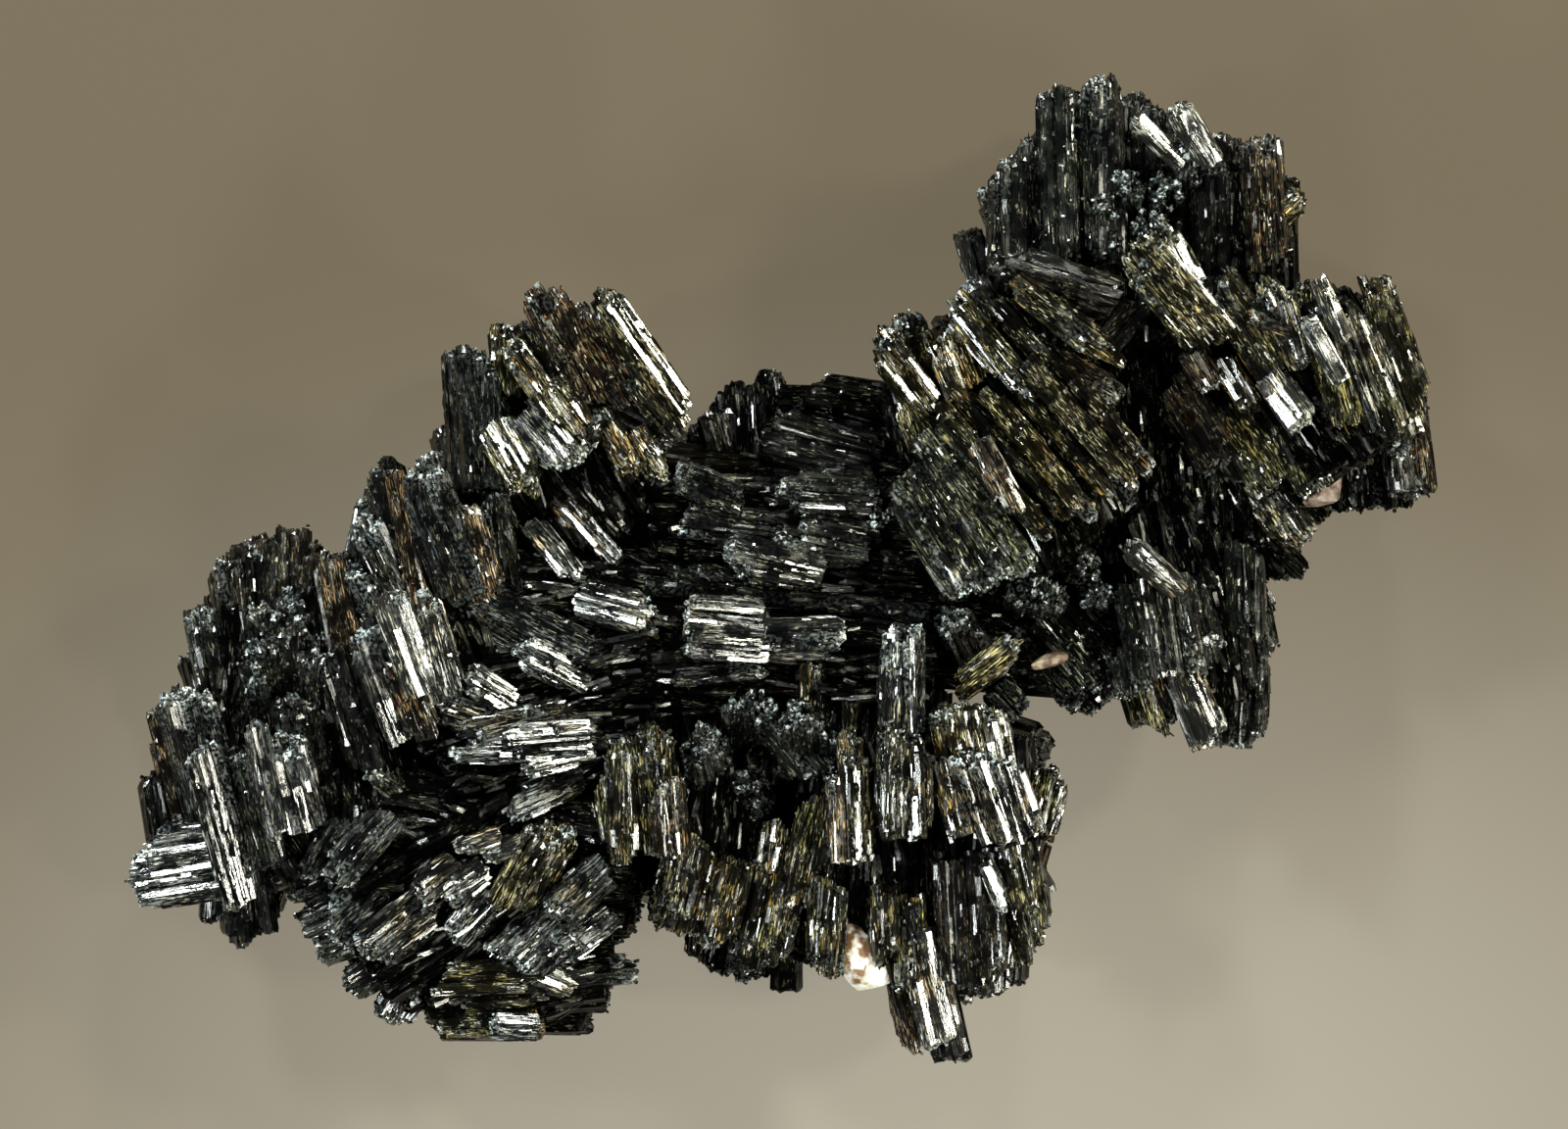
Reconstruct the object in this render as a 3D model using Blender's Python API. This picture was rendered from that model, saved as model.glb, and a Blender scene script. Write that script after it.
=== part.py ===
"""A foitite specimen: sheaves of dark tourmaline prisms grown into one jagged cluster that holds light grains.

The cluster lies on its back, +Z up, with the origin at the centre of its footprint. Every sheaf of parallel
crystals is a six-sided prism, and a stepped one has a narrower prism that stands past its end. All of them
and the stout blocks that they grow from are joined into one solid, trimmed flat where it touches the surface
that it lies on, and hollowed where a light grain sits in it.
"""

import random
from math import pi, radians

import bmesh
import bpy
from mathutils import Matrix, Vector

# Driving dimensions, in metres.
SPECIMEN_LENGTH = 0.0665  # from the left tip to the right edge
GRAIN_GAP = 0.0003  # left clear between the cluster and each light grain

# The tables below are written in millimetres for a specimen of this length.
TABLE_LENGTH = 66.5
MM = SPECIMEN_LENGTH / TABLE_LENGTH
CENTRE = Vector((0.14, -0.12, 0.0))  # the middle of the footprint in the tables, which is the origin

PRISM_TAPER = 0.92  # a prism's tip is this share of its root across
PRISM_ROLL = 0.12  # most that a sheaf is turned about its length, in radians
FLAT_UP = pi / 6  # turns a prism from an edge on top to a face on top
STEP_MIN_WIDTH = 2.8  # a sheaf at least this wide has a stepped end
STEP_WIDTH = 0.5  # the narrower prism's share of the width
STEP_DEPTH = 0.62  # and of the depth
STEP_SIDE = 0.11  # how far it stands to one side, as a share of the width
STEP_ROOT = 0.6  # how far along the broad prism it starts, out of sight inside it
STEP_BACK = 0.13  # how far short the broad prism stops, as a share of the length
GRAIN_BEVEL = 0.5  # bevel on a grain, as a share of its smallest half size
FLOOR_CUTTER = 80.0  # side of the block that trims the underside, in millimetres
SPECK = 0.1  # side of the largest closed crumb that the joining may leave, in millimetres

# Materials: name, colour and roughness.
FOITITE = ("foitite", (0.045, 0.042, 0.03), 0.28)
FELDSPAR = ("feldspar", (0.82, 0.78, 0.70), 0.45)
MICA = ("mica", (0.45, 0.33, 0.26), 0.35)
QUARTZ = ("quartz", (0.70, 0.62, 0.55), 0.30)

# Sheaves: root x, y, z, tip x, y, z, width across, depth. Millimetres.
LEFT_LOBE = (
    (-27.1, -14.3, 12.5, -33.0, -15.3, 12.0, 4.2, 3.6),
    (-27.2, -17.2, 13.6, -29.7, -7.8, 15.0, 2.2, 2.6),
    (-28.6, -13.7, 11.0, -30.5, -6.1, 12.6, 3.0, 3.0),
    (-30.2, -13.2, 10.0, -31.6, -7.1, 11.3, 1.9, 2.6),
    (-28.7, -15.0, 8.4, -28.4, -19.0, 7.6, 2.2, 3.0),
    (-23.9, -13.1, 13.2, -25.2, -8.2, 15.0, 1.9, 2.4),
    (-26.1, -15.4, 13.0, -27.7, -9.2, 14.0, 2.2, 2.8),
    (-23.5, -15.2, 11.0, -26.9, -10.6, 11.5, 4.0, 4.0),
    (-26.2, -8.2, 8.5, -26.6, 1.7, 7.5, 5.6, 4.5),
    (-25.0, -8.2, 8.8, -25.0, 1.7, 8.0, 2.8, 3.5),
    (-28.6, -7.4, 9.5, -29.6, -1.8, 9.5, 1.9, 3.0),
    (-25.0, -11.2, 6.5, -25.8, -2.3, 12.5, 3.4, 3.4),
    (-25.0, -12.2, 7.0, -26.9, -4.3, 13.0, 2.0, 2.2),
    (-22.8, -12.2, 7.5, -23.6, -3.2, 13.0, 2.6, 2.6),
    (-25.0, -8.2, 6.5, -25.1, -1.1, 10.8, 4.0, 2.6),
    (-23.5, -13.2, 8.0, -24.7, -6.2, 14.0, 2.4, 2.4),
    (-21.4, -6.4, 13.0, -22.7, 0.8, 13.8, 2.3, 3.0),
    (-18.6, -2.4, 13.0, -20.2, 5.6, 14.6, 1.9, 2.6),
    (-19.2, -8.7, 14.8, -21.5, -2.3, 16.0, 1.9, 2.4),
    (-20.4, -10.4, 13.0, -22.4, -3.3, 14.2, 2.4, 3.0),
    (-18.0, -8.6, 15.0, -19.7, -3.9, 16.0, 1.9, 2.2),
    (-17.1, -6.8, 17.0, -19.0, -1.0, 18.4, 3.2, 2.8),
)
MIDDLE_LEFT = (
    (-15.9, -1.7, 15.0, -18.3, 5.8, 16.2, 2.3, 3.0),
    (-14.6, -1.4, 14.6, -16.3, 3.4, 15.6, 1.9, 2.6),
    (-14.0, -1.2, 12.5, -15.1, 5.0, 13.0, 1.8, 2.6),
    (-19.4, -1.2, 14.0, -21.3, 2.7, 15.0, 1.8, 2.2),
)
UPPER_LEFT = (
    (-14.9, 3.5, 12.5, -15.6, 11.3, 12.0, 3.4, 4.0),
    (-13.5, 7.8, 13.0, -14.1, 12.7, 12.5, 1.8, 3.0),
    (-10.4, 7.4, 15.8, -11.9, 9.5, 17.4, 2.0, 2.6),
    (-9.2, 8.5, 15.2, -12.3, 14.4, 16.6, 2.2, 3.0),
    (-7.4, 8.7, 14.6, -10.3, 13.4, 15.6, 2.2, 3.0),
    (-11.2, 8.8, 15.0, -13.1, 12.9, 14.5, 2.0, 3.0),
    (-4.7, 7.4, 16.2, -9.4, 14.3, 18.0, 1.9, 2.6),
    (-5.0, 6.8, 14.2, -8.0, 10.8, 15.8, 1.8, 2.6),
    (-14.4, 7.2, 15.2, -12.5, 4.1, 17.0, 2.2, 2.6),
    (-13.0, 8.3, 15.2, -10.4, 5.3, 16.4, 2.4, 2.8),
    (-9.5, 6.8, 8.5, -5.5, -0.4, 8.5, 4.4, 5.0),
    (-14.7, 3.3, 10.0, -11.7, -1.2, 10.5, 3.2, 4.0),
    (-12.0, 9.8, 13.0, -5.5, 6.8, 13.0, 3.5, 4.4),
)
CENTRE_BACK = (
    (-1.2, 4.8, 8.5, -1.7, 9.4, 7.0, 4.0, 4.5),
    (-0.5, 6.8, 7.5, -0.9, 10.2, 7.0, 1.8, 2.5),
    (-2.7, 4.8, 8.5, -3.9, 8.0, 8.0, 2.4, 4.0),
    (7.2, 7.5, 8.8, 0.7, 8.7, 9.0, 3.2, 4.0),
    (5.0, 5.3, 10.5, -1.0, 6.8, 10.5, 3.4, 4.0),
    (5.2, 3.8, 12.0, -0.5, 4.2, 12.6, 2.4, 3.0),
    (5.0, 1.3, 12.0, -0.2, 2.3, 13.0, 2.6, 3.0),
    (2.0, -0.4, 13.0, -3.1, 0.8, 14.0, 2.4, 2.8),
    (0.0, 2.0, 11.0, -5.0, 2.8, 11.6, 2.4, 3.0),
    (9.2, -1.2, 9.5, 2.5, 0.0, 10.5, 3.6, 4.0),
    (-2.0, -1.2, 12.0, -5.5, 0.0, 12.6, 2.0, 2.4),
)
CENTRE_FRONT = (
    (-10.5, -1.4, 13.0, -6.2, -2.4, 14.0, 2.3, 2.6),
    (-0.5, -3.2, 15.0, -5.1, -2.9, 15.6, 3.4, 3.0),
    (-1.7, -3.4, 15.0, 3.2, -3.4, 15.0, 2.0, 2.2),
    (-3.0, -4.7, 12.0, -7.5, -4.9, 12.6, 2.6, 3.0),
    (-5.0, -3.2, 10.5, -9.5, -4.2, 10.5, 3.6, 4.0),
)
CENTRE_LEFT = (
    (-9.7, -4.3, 13.0, -16.2, -1.1, 14.0, 2.2, 2.6),
    (-9.7, -5.7, 13.6, -13.5, -3.8, 14.6, 1.8, 2.2),
    (-13.7, -8.1, 13.6, -17.4, -6.8, 14.4, 1.9, 2.2),
    (-9.4, -7.3, 15.0, -16.4, -8.6, 16.0, 1.8, 2.2),
    (-9.2, -8.6, 15.4, -16.8, -9.4, 16.2, 1.8, 2.2),
    (-10.2, -10.4, 13.0, -14.2, -12.3, 14.0, 2.0, 2.4),
    (-7.0, -6.2, 11.0, -12.0, -6.9, 12.0, 3.0, 4.0),
    (-14.0, -11.2, 9.0, -19.0, -12.2, 9.5, 3.0, 4.0),
)
LOWER_LEFT = (
    (-19.9, -12.6, 15.0, -22.5, -15.4, 15.0, 3.2, 2.8),
    (-13.7, -17.1, 13.4, -11.4, -13.0, 15.4, 2.6, 2.8),
    (-8.7, -14.9, 14.0, -11.7, -17.6, 14.8, 2.2, 2.4),
    (-17.6, -16.8, 13.4, -21.2, -19.6, 14.2, 2.6, 2.6),
    (-19.5, -15.4, 12.0, -23.0, -18.4, 12.4, 3.0, 3.0),
    (-14.6, -16.2, 13.4, -17.1, -18.9, 13.8, 2.0, 2.2),
    (-11.2, -17.4, 12.0, -14.2, -20.4, 12.6, 3.4, 3.0),
    (-11.7, -20.7, 12.0, -17.8, -20.9, 12.0, 2.0, 2.6),
    (-12.0, -23.0, 10.4, -18.1, -22.9, 10.4, 2.1, 2.8),
    (-12.0, -20.4, 10.6, -7.3, -20.4, 10.6, 1.7, 2.4),
    (-12.0, -21.8, 9.4, -8.4, -21.8, 9.4, 1.6, 2.4),
    (-10.7, -17.4, 7.6, -7.2, -18.1, 7.4, 3.2, 3.0),
    (-20.2, -18.2, 9.4, -23.7, -19.3, 9.0, 2.0, 3.0),
    (-19.0, -19.2, 9.0, -22.4, -21.3, 8.4, 2.2, 3.0),
    (-18.0, -20.2, 9.0, -19.9, -22.9, 8.0, 2.6, 3.0),
    (-21.0, -16.2, 10.0, -24.6, -17.8, 9.6, 2.4, 3.0),
    (-22.0, -14.7, 10.0, -25.8, -16.3, 10.0, 2.2, 3.0),
)
LOWER_MIDDLE = (
    (-6.2, -14.6, 14.8, -6.6, -7.9, 15.6, 2.5, 3.0),
    (-5.4, -14.6, 16.4, -5.7, -10.5, 16.8, 1.9, 2.0),
    (-0.5, -7.4, 13.5, 2.2, -10.7, 13.5, 2.4, 2.0),
    (1.6, -8.4, 12.6, 1.4, -4.5, 13.4, 2.0, 2.6),
    (3.9, -15.1, 15.6, 3.6, -8.1, 16.6, 1.5, 2.8),
    (6.2, -13.6, 16.8, 6.1, -8.1, 17.4, 2.4, 3.0),
    (6.2, -8.7, 15.6, 6.0, -2.6, 17.0, 2.1, 2.6),
    (10.1, -10.7, 16.2, 9.2, -6.6, 17.4, 3.9, 3.2),
    (11.8, -13.9, 16.8, 10.0, -8.8, 18.2, 3.4, 3.2),
    (12.9, -13.7, 12.5, 13.8, -10.0, 12.5, 2.2, 3.0),
    (9.2, -13.7, 13.4, 9.9, -20.8, 13.0, 3.2, 3.4),
    (11.7, -13.7, 12.6, 13.1, -19.8, 12.0, 2.4, 3.0),
    (10.0, -17.7, 8.6, 10.2, -22.2, 8.0, 3.6, 3.4),
    (12.0, -17.2, 8.6, 11.7, -21.2, 8.4, 2.0, 3.0),
    (7.2, -17.7, 12.4, 8.1, -25.2, 11.4, 2.4, 2.8),
    (-4.4, -13.4, 13.6, -5.5, -18.4, 13.0, 2.8, 3.0),
    (-2.6, -14.6, 13.0, -3.6, -19.4, 12.4, 2.4, 3.0),
    (0.0, -14.7, 12.8, -1.2, -20.1, 12.0, 3.0, 3.0),
    (2.1, -10.7, 13.0, 0.4, -18.4, 13.0, 2.0, 2.6),
    (2.9, -15.4, 14.0, 2.3, -20.7, 13.4, 2.4, 2.6),
    (5.2, -15.7, 12.4, 4.9, -21.2, 12.0, 2.8, 3.0),
    (-2.2, -17.2, 8.6, -2.7, -20.8, 8.0, 4.6, 3.4),
    (0.0, -18.4, 7.0, 0.3, -21.8, 6.6, 1.6, 2.2),
)
RIGHT_CENTRE = (
    (8.1, 7.5, 16.0, 4.6, 11.9, 16.6, 2.0, 2.8),
    (9.5, 8.8, 16.0, 8.2, 12.3, 16.4, 2.4, 2.8),
    (7.5, 9.3, 13.4, 6.3, 13.2, 13.4, 1.8, 2.6),
    (17.5, 13.4, 16.4, 10.5, 15.7, 16.4, 2.6, 3.0),
    (11.2, 14.8, 17.4, 17.3, 10.2, 17.6, 2.6, 3.0),
    (12.7, 10.8, 18.0, 18.4, 4.2, 18.8, 2.8, 3.0),
    (10.7, 10.3, 17.6, 16.4, 2.5, 18.4, 2.4, 3.0),
    (8.2, 9.3, 17.2, 13.7, 1.2, 17.6, 2.8, 3.0),
    (7.0, 6.8, 16.6, 12.1, -0.3, 17.2, 2.8, 3.0),
    (6.0, 4.9, 16.0, 9.9, -1.1, 16.4, 2.8, 2.8),
    (8.7, 14.3, 16.6, 14.0, 8.5, 17.6, 3.6, 3.0),
    (10.5, 12.3, 14.6, 9.2, 14.5, 14.6, 2.4, 3.0),
    (9.0, 9.8, 13.0, 15.6, 3.0, 13.5, 6.0, 5.0),
)
TOP_RIGHT = (
    (11.8, 14.5, 12.6, 11.8, 21.3, 12.6, 2.6, 4.0),
    (14.2, 15.5, 13.4, 14.1, 24.3, 13.0, 2.4, 4.0),
    (16.4, 15.5, 13.6, 16.0, 25.1, 13.4, 2.5, 4.0),
    (18.4, 17.8, 11.6, 18.3, 24.1, 11.4, 2.8, 4.0),
    (20.2, 18.8, 11.4, 20.0, 23.2, 11.4, 1.8, 3.6),
    (22.0, 13.8, 12.6, 21.9, 20.7, 13.0, 2.6, 4.0),
    (24.5, 15.0, 13.4, 24.2, 22.3, 13.4, 2.4, 4.0),
    (24.0, 16.5, 12.0, 26.0, 16.7, 12.0, 2.0, 2.6),
    (23.1, 17.8, 11.6, 22.8, 22.1, 11.4, 1.8, 3.4),
    (10.6, 13.8, 11.0, 9.5, 17.5, 10.8, 1.7, 3.0),
    (26.0, 12.8, 10.5, 24.5, 15.7, 10.5, 1.6, 3.0),
)
RIGHT_LOBE = (
    (22.0, 11.3, 17.4, 17.6, 16.4, 18.2, 3.0, 3.0),
    (25.2, 10.0, 15.8, 21.9, 14.7, 16.2, 2.2, 2.8),
    (26.5, 10.3, 16.6, 24.1, 14.6, 17.0, 1.6, 2.4),
    (24.7, 9.8, 16.4, 26.4, 7.4, 17.0, 1.9, 2.6),
    (32.6, 7.3, 14.6, 29.6, 15.2, 15.0, 1.9, 3.4),
    (31.2, 6.5, 15.0, 28.4, 13.7, 15.4, 2.8, 3.4),
    (29.2, 6.8, 14.6, 27.2, 13.3, 15.0, 2.4, 3.4),
    (29.7, 7.8, 9.6, 30.0, 3.2, 9.0, 4.6, 4.0),
    (31.7, 6.8, 11.6, 32.1, 3.4, 11.6, 1.6, 3.0),
    (19.7, 10.0, 11.0, 23.1, 4.2, 11.6, 2.6, 3.4),
    (22.2, 9.3, 12.4, 25.5, 4.3, 12.6, 2.6, 3.0),
    (25.0, 8.3, 13.4, 27.5, 4.2, 13.2, 2.6, 3.0),
    (27.2, 8.8, 13.4, 29.2, 5.3, 13.0, 2.2, 3.0),
    (30.0, 8.8, 11.5, 27.0, 13.4, 11.5, 5.0, 4.0),
)
LOWER_RIGHT = (
    (24.2, 4.8, 11.0, 26.5, 1.4, 11.4, 2.2, 3.0),
    (25.2, 4.8, 9.4, 27.9, 2.7, 9.2, 1.9, 3.0),
    (23.7, 2.5, 8.6, 26.6, -0.6, 8.0, 1.9, 2.2),
    (23.4, 1.8, 10.6, 23.7, -9.1, 9.6, 2.6, 4.0),
    (19.0, 0.0, 12.4, 20.2, -5.9, 12.6, 4.4, 4.0),
    (20.2, -4.4, 13.0, 22.0, -8.9, 12.6, 2.2, 2.6),
    (18.6, -4.7, 11.6, 19.8, -8.3, 11.2, 1.6, 2.4),
    (13.7, -4.2, 9.0, 16.1, -7.5, 8.4, 2.0, 3.0),
    (17.5, -3.7, 10.0, 18.0, -6.4, 9.6, 2.8, 3.0),
    (13.0, -1.7, 9.6, 16.5, -5.7, 9.4, 4.0, 4.0),
    (18.5, 9.8, 6.5, 23.0, -1.2, 6.5, 5.6, 5.0),
)
LOBES = (LEFT_LOBE, MIDDLE_LEFT, UPPER_LEFT, CENTRE_BACK, CENTRE_FRONT, CENTRE_LEFT, LOWER_LEFT,
         LOWER_MIDDLE, RIGHT_CENTRE, TOP_RIGHT, RIGHT_LOBE, LOWER_RIGHT)

# Broad sheaves of the underside, which run out from the middle of each lobe to its rim.
UNDERSIDE = (
    (-27.0, -12.0, 5.0, -31.8, -13.5, 6.5, 5.0, 4.2),
    (-25.0, -6.0, 5.0, -25.5, 0.2, 6.5, 5.0, 4.0),
    (-27.0, -13.0, 4.8, -28.5, -17.5, 6.0, 4.5, 4.0),
    (-20.0, -4.0, 4.8, -20.8, 2.0, 6.5, 4.6, 4.0),
    (-17.0, -1.0, 5.0, -17.5, 4.8, 7.0, 4.4, 4.0),
    (-19.0, -16.0, 4.8, -23.4, -18.6, 6.2, 5.0, 4.2),
    (-16.0, -18.0, 4.6, -18.5, -22.4, 6.0, 5.0, 4.2),
    (-12.0, -18.0, 4.6, -11.5, -22.6, 6.0, 5.0, 4.2),
    (-11.0, -14.0, 4.6, -7.8, -17.4, 6.0, 4.6, 4.0),
    (-12.0, 3.0, 5.0, -15.8, 8.5, 7.0, 5.0, 4.4),
    (-11.0, 6.0, 5.2, -12.2, 12.6, 7.5, 4.6, 4.4),
    (-9.0, 5.0, 5.2, -6.2, 9.8, 7.2, 4.6, 4.4),
    (-6.0, 2.0, 4.6, -4.2, 7.0, 6.0, 4.6, 4.0),
    (-1.0, 3.0, 4.6, -0.5, 9.2, 6.0, 4.8, 4.0),
    (4.0, 4.0, 4.8, 4.2, 9.4, 6.2, 4.8, 4.0),
    (-4.0, -12.0, 4.6, -5.8, -17.8, 6.0, 5.0, 4.0),
    (4.5, -13.0, 4.6, 4.2, -20.0, 6.0, 5.0, 4.0),
    (8.0, -14.0, 4.6, 8.2, -21.5, 5.8, 4.6, 4.0),
    (10.0, -12.0, 4.8, 12.0, -18.5, 6.0, 4.6, 4.0),
    (9.0, -9.0, 4.6, 13.2, -10.5, 6.0, 5.0, 4.0),
    (9.0, 3.0, 4.8, 5.8, 8.5, 6.4, 5.0, 4.2),
    (11.0, 8.0, 5.0, 9.0, 13.0, 7.0, 5.0, 4.2),
    (14.0, 16.0, 5.0, 12.2, 20.5, 7.0, 5.0, 4.4),
    (16.0, 17.0, 5.0, 16.2, 23.6, 7.0, 5.0, 4.4),
    (19.0, 17.0, 5.0, 19.8, 22.8, 7.0, 5.0, 4.4),
    (22.0, 14.0, 5.0, 24.0, 20.0, 7.0, 4.8, 4.4),
    (26.0, 9.0, 5.0, 27.5, 13.2, 6.6, 5.0, 4.2),
    (28.0, 9.0, 4.8, 31.5, 8.6, 6.4, 5.0, 4.2),
    (27.0, 8.0, 4.6, 30.8, 4.6, 6.2, 5.0, 4.2),
    (20.0, 2.0, 4.6, 23.2, -3.5, 6.0, 5.0, 4.0),
    (19.0, -2.0, 4.4, 20.5, -7.8, 5.6, 5.0, 4.0),
    (16.0, -1.0, 4.4, 15.0, -5.5, 5.4, 5.0, 4.0),
)

# The lowest sheaves, which carry the cluster and are trimmed flat.
FEET = (
    (-23.0, -10.5, 2.8, -28.5, -9.0, 2.8, 4.4, 7.0),
    (-12.5, -14.5, 2.8, -17.5, -18.5, 2.8, 4.6, 7.0),
    (-8.5, 4.5, 2.8, -13.0, 8.5, 2.8, 4.4, 7.0),
    (7.0, -11.0, 2.8, 7.5, -17.0, 2.8, 4.8, 7.0),
    (18.0, 1.0, 2.8, 19.5, -5.0, 2.8, 4.2, 7.0),
    (24.0, 8.0, 2.8, 29.0, 9.5, 2.8, 4.6, 7.0),
    (12.5, 10.5, 2.8, 15.5, 15.5, 2.8, 4.2, 7.0),
    (-1.0, -1.5, 3.4, 4.5, 1.5, 3.4, 4.6, 8.4),
)

# Stout blocks that the sheaves grow from, written as the sheaves are.
BLOCKS = (
    (-26.8, -15.0, 9.6, -26.6, -0.6, 9.2, 8.0, 8.6),
    (-21.0, -12.5, 10.0, -22.4, 0.0, 10.6, 8.0, 8.6),
    (-16.0, -5.0, 10.4, -18.6, 4.0, 10.8, 6.0, 8.0),
    (-11.0, -12.5, 9.8, -21.5, -19.2, 9.2, 9.0, 9.0),
    (-8.4, -19.4, 9.0, -18.6, -20.4, 9.0, 5.6, 7.0),
    (-7.0, -14.5, 9.6, -20.5, -13.0, 9.6, 8.0, 8.0),
    (-6.0, -6.0, 10.4, -18.5, -9.2, 10.6, 9.0, 8.6),
    (-8.6, 1.5, 9.0, -14.0, 11.0, 11.6, 8.6, 11.0),
    (-5.0, -2.0, 9.6, -17.5, -1.0, 9.8, 6.0, 7.6),
    (9.0, 2.2, 9.2, -7.0, 3.2, 9.4, 7.0, 6.6),
    (8.0, -4.4, 10.0, -7.5, -3.4, 10.0, 8.0, 8.6),
    (7.5, 6.6, 8.2, -3.4, 7.0, 8.0, 5.0, 6.0),
    (-2.8, -6.0, 10.2, -3.6, -17.6, 9.6, 8.6, 9.6),
    (4.6, -5.0, 11.2, 4.2, -18.8, 10.0, 8.4, 11.0),
    (9.8, -7.4, 11.0, 10.8, -18.4, 9.6, 6.2, 10.6),
    (7.6, 11.6, 10.6, 14.4, 0.4, 11.0, 10.8, 11.0),
    (16.8, 11.0, 10.0, 16.6, 21.0, 10.2, 12.0, 8.4),
    (23.4, 12.0, 10.0, 23.6, 20.4, 10.4, 5.2, 7.6),
    (24.4, 12.4, 10.2, 30.0, 5.0, 10.4, 8.6, 10.4),
    (19.6, 13.5, 8.6, 21.6, 1.5, 8.2, 8.0, 7.6),
    (19.4, 4.0, 8.8, 21.2, -5.8, 8.6, 6.6, 7.6),
    (8.0, -2.4, 7.6, 17.5, -3.4, 7.4, 6.4, 6.0),
)

# Light grains that sit among the prisms: material, centre x, y, z, half sizes x, y, z, and turn in degrees.
GRAINS = {
    "feldspar_grain": (FELDSPAR, (3.9, -20.2, 12.2), (1.5, 1.0, 1.0), -35),
    "mica_flake": (MICA, (13.8, -4.5, 12.1), (1.25, 0.45, 0.7), 8),
    "quartz_grain": (QUARTZ, (27.6, 3.9, 12.6), (1.1, 0.7, 0.8), 20),
}


def clear_scene():
    """Removes what the startup file holds."""
    for obj in list(bpy.data.objects):
        bpy.data.objects.remove(obj)


def new_collection(name):
    collection = bpy.data.collections.new(name)
    bpy.context.scene.collection.children.link(collection)
    return collection


def material(name, colour, roughness):
    """A plain Principled material."""
    made = bpy.data.materials.new(name)
    made.use_nodes = True
    shader = made.node_tree.nodes["Principled BSDF"]
    shader.inputs["Base Color"].default_value = (*colour, 1.0)
    shader.inputs["Roughness"].default_value = roughness
    return made


def add_object(name, bm, collection):
    """Puts a bmesh into a new object of the collection."""
    mesh = bpy.data.meshes.new(name)
    bm.to_mesh(mesh)
    bm.free()
    obj = bpy.data.objects.new(name, mesh)
    collection.objects.link(obj)
    return obj


def frame_along(start, end):
    """The matrix that takes +Z to the way from start to end, with +X level, centred between them."""
    way = (end - start).normalized()
    level = Vector((0, 0, 1)).cross(way)
    level = level.normalized() if level.length > 0.05 else Vector((1, 0, 0))
    up = way.cross(level)
    turn = Matrix((level, up, way)).transposed().to_4x4()
    return Matrix.Translation((start + end) / 2) @ turn


def prism(name, root, tip, width, depth, roll, collection):
    """A six-sided prism from root to tip, turned about its length by roll."""
    bm = bmesh.new()
    length = (tip - root).length
    bmesh.ops.create_cone(bm, cap_ends=True, segments=6, radius1=0.5, radius2=PRISM_TAPER / 2, depth=length)
    turn = Matrix.Rotation(roll, 4, "Z")
    size = Matrix.Diagonal((width, depth, 1, 1))
    bmesh.ops.transform(bm, matrix=frame_along(root, tip) @ size @ turn, verts=bm.verts)
    return add_object(name, bm, collection)


def sheaf(name, row, stepped, rng, collection):
    """One row of the tables: a prism and, where it is stepped, a narrower one that stands past its end."""
    root = (Vector(row[0:3]) - CENTRE) * MM
    tip = (Vector(row[3:6]) - CENTRE) * MM
    width, depth = row[6] * MM, row[7] * MM
    roll = rng.uniform(-PRISM_ROLL, PRISM_ROLL)
    if not stepped:
        prism(name, root, tip, width, depth, roll, collection)
        return
    prism(name, root, tip.lerp(root, STEP_BACK), width, depth, roll, collection)
    side = (tip - root).cross(Vector((0, 0, 1))).normalized() * width * rng.choice((-STEP_SIDE, STEP_SIDE))
    start = root.lerp(tip, STEP_ROOT) + side
    prism(name + "_step", start, tip + side, width * STEP_WIDTH, depth * STEP_DEPTH, -roll, collection)


def block(name, row, collection):
    """A stout prism with a face on top."""
    root = (Vector(row[0:3]) - CENTRE) * MM
    tip = (Vector(row[3:6]) - CENTRE) * MM
    return prism(name, root, tip, row[6] * MM, row[7] * MM, FLAT_UP, collection)


def grain(name, centre, half, turn, grow, collection):
    """A blocky grain: a cube whose corners are bevelled off, grown by a gap when it is a pocket."""
    bm = bmesh.new()
    bmesh.ops.create_cube(bm, size=2.0)
    size = Matrix.Diagonal((*[h * MM + grow for h in half], 1))
    bmesh.ops.transform(bm, matrix=size, verts=bm.verts)
    bmesh.ops.bevel(bm, geom=bm.edges[:], offset=min(half) * GRAIN_BEVEL * MM, segments=1, affect="EDGES")
    place = Matrix.Translation((Vector(centre) - CENTRE) * MM)
    tilt = Matrix.Rotation(radians(turn), 4, "Z") @ Matrix.Rotation(radians(turn / 2), 4, "X")
    bmesh.ops.transform(bm, matrix=place @ tilt, verts=bm.verts)
    return add_object(name, bm, collection)


def floor_cutter(collection):
    """The block below the surface that the cluster lies on."""
    bm = bmesh.new()
    side = FLOOR_CUTTER * MM
    bmesh.ops.create_cube(bm, size=side)
    bmesh.ops.translate(bm, vec=(0, 0, -side / 2), verts=bm.verts)
    return add_object("floor_cutter", bm, collection)


def boolean(target, operation, other):
    """A live Boolean with an object or a whole collection."""
    modifier = target.modifiers.new(operation.lower(), "BOOLEAN")
    modifier.operation = operation
    modifier.solver = "EXACT"
    if isinstance(other, bpy.types.Collection):
        modifier.operand_type = "COLLECTION"
        modifier.collection = other
    else:
        modifier.object = other


def shells(bm):
    """The mesh's separate closed shells, as lists of faces."""
    left, found = set(bm.faces), []
    while left:
        stack, shell = [left.pop()], []
        while stack:
            face = stack.pop()
            shell.append(face)
            for edge in face.edges:
                near = left.intersection(edge.link_faces)
                left -= near
                stack.extend(near)
        found.append(shell)
    return found


def enclosed(shell):
    """Six times a shell's volume, which is negative where its faces point into a closed gap."""
    total = 0.0
    for face in shell:
        first, *rest = [vert.co for vert in face.verts]
        total += sum(first.dot(a.cross(b)) for a, b in zip(rest, rest[1:]))
    return total


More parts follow.
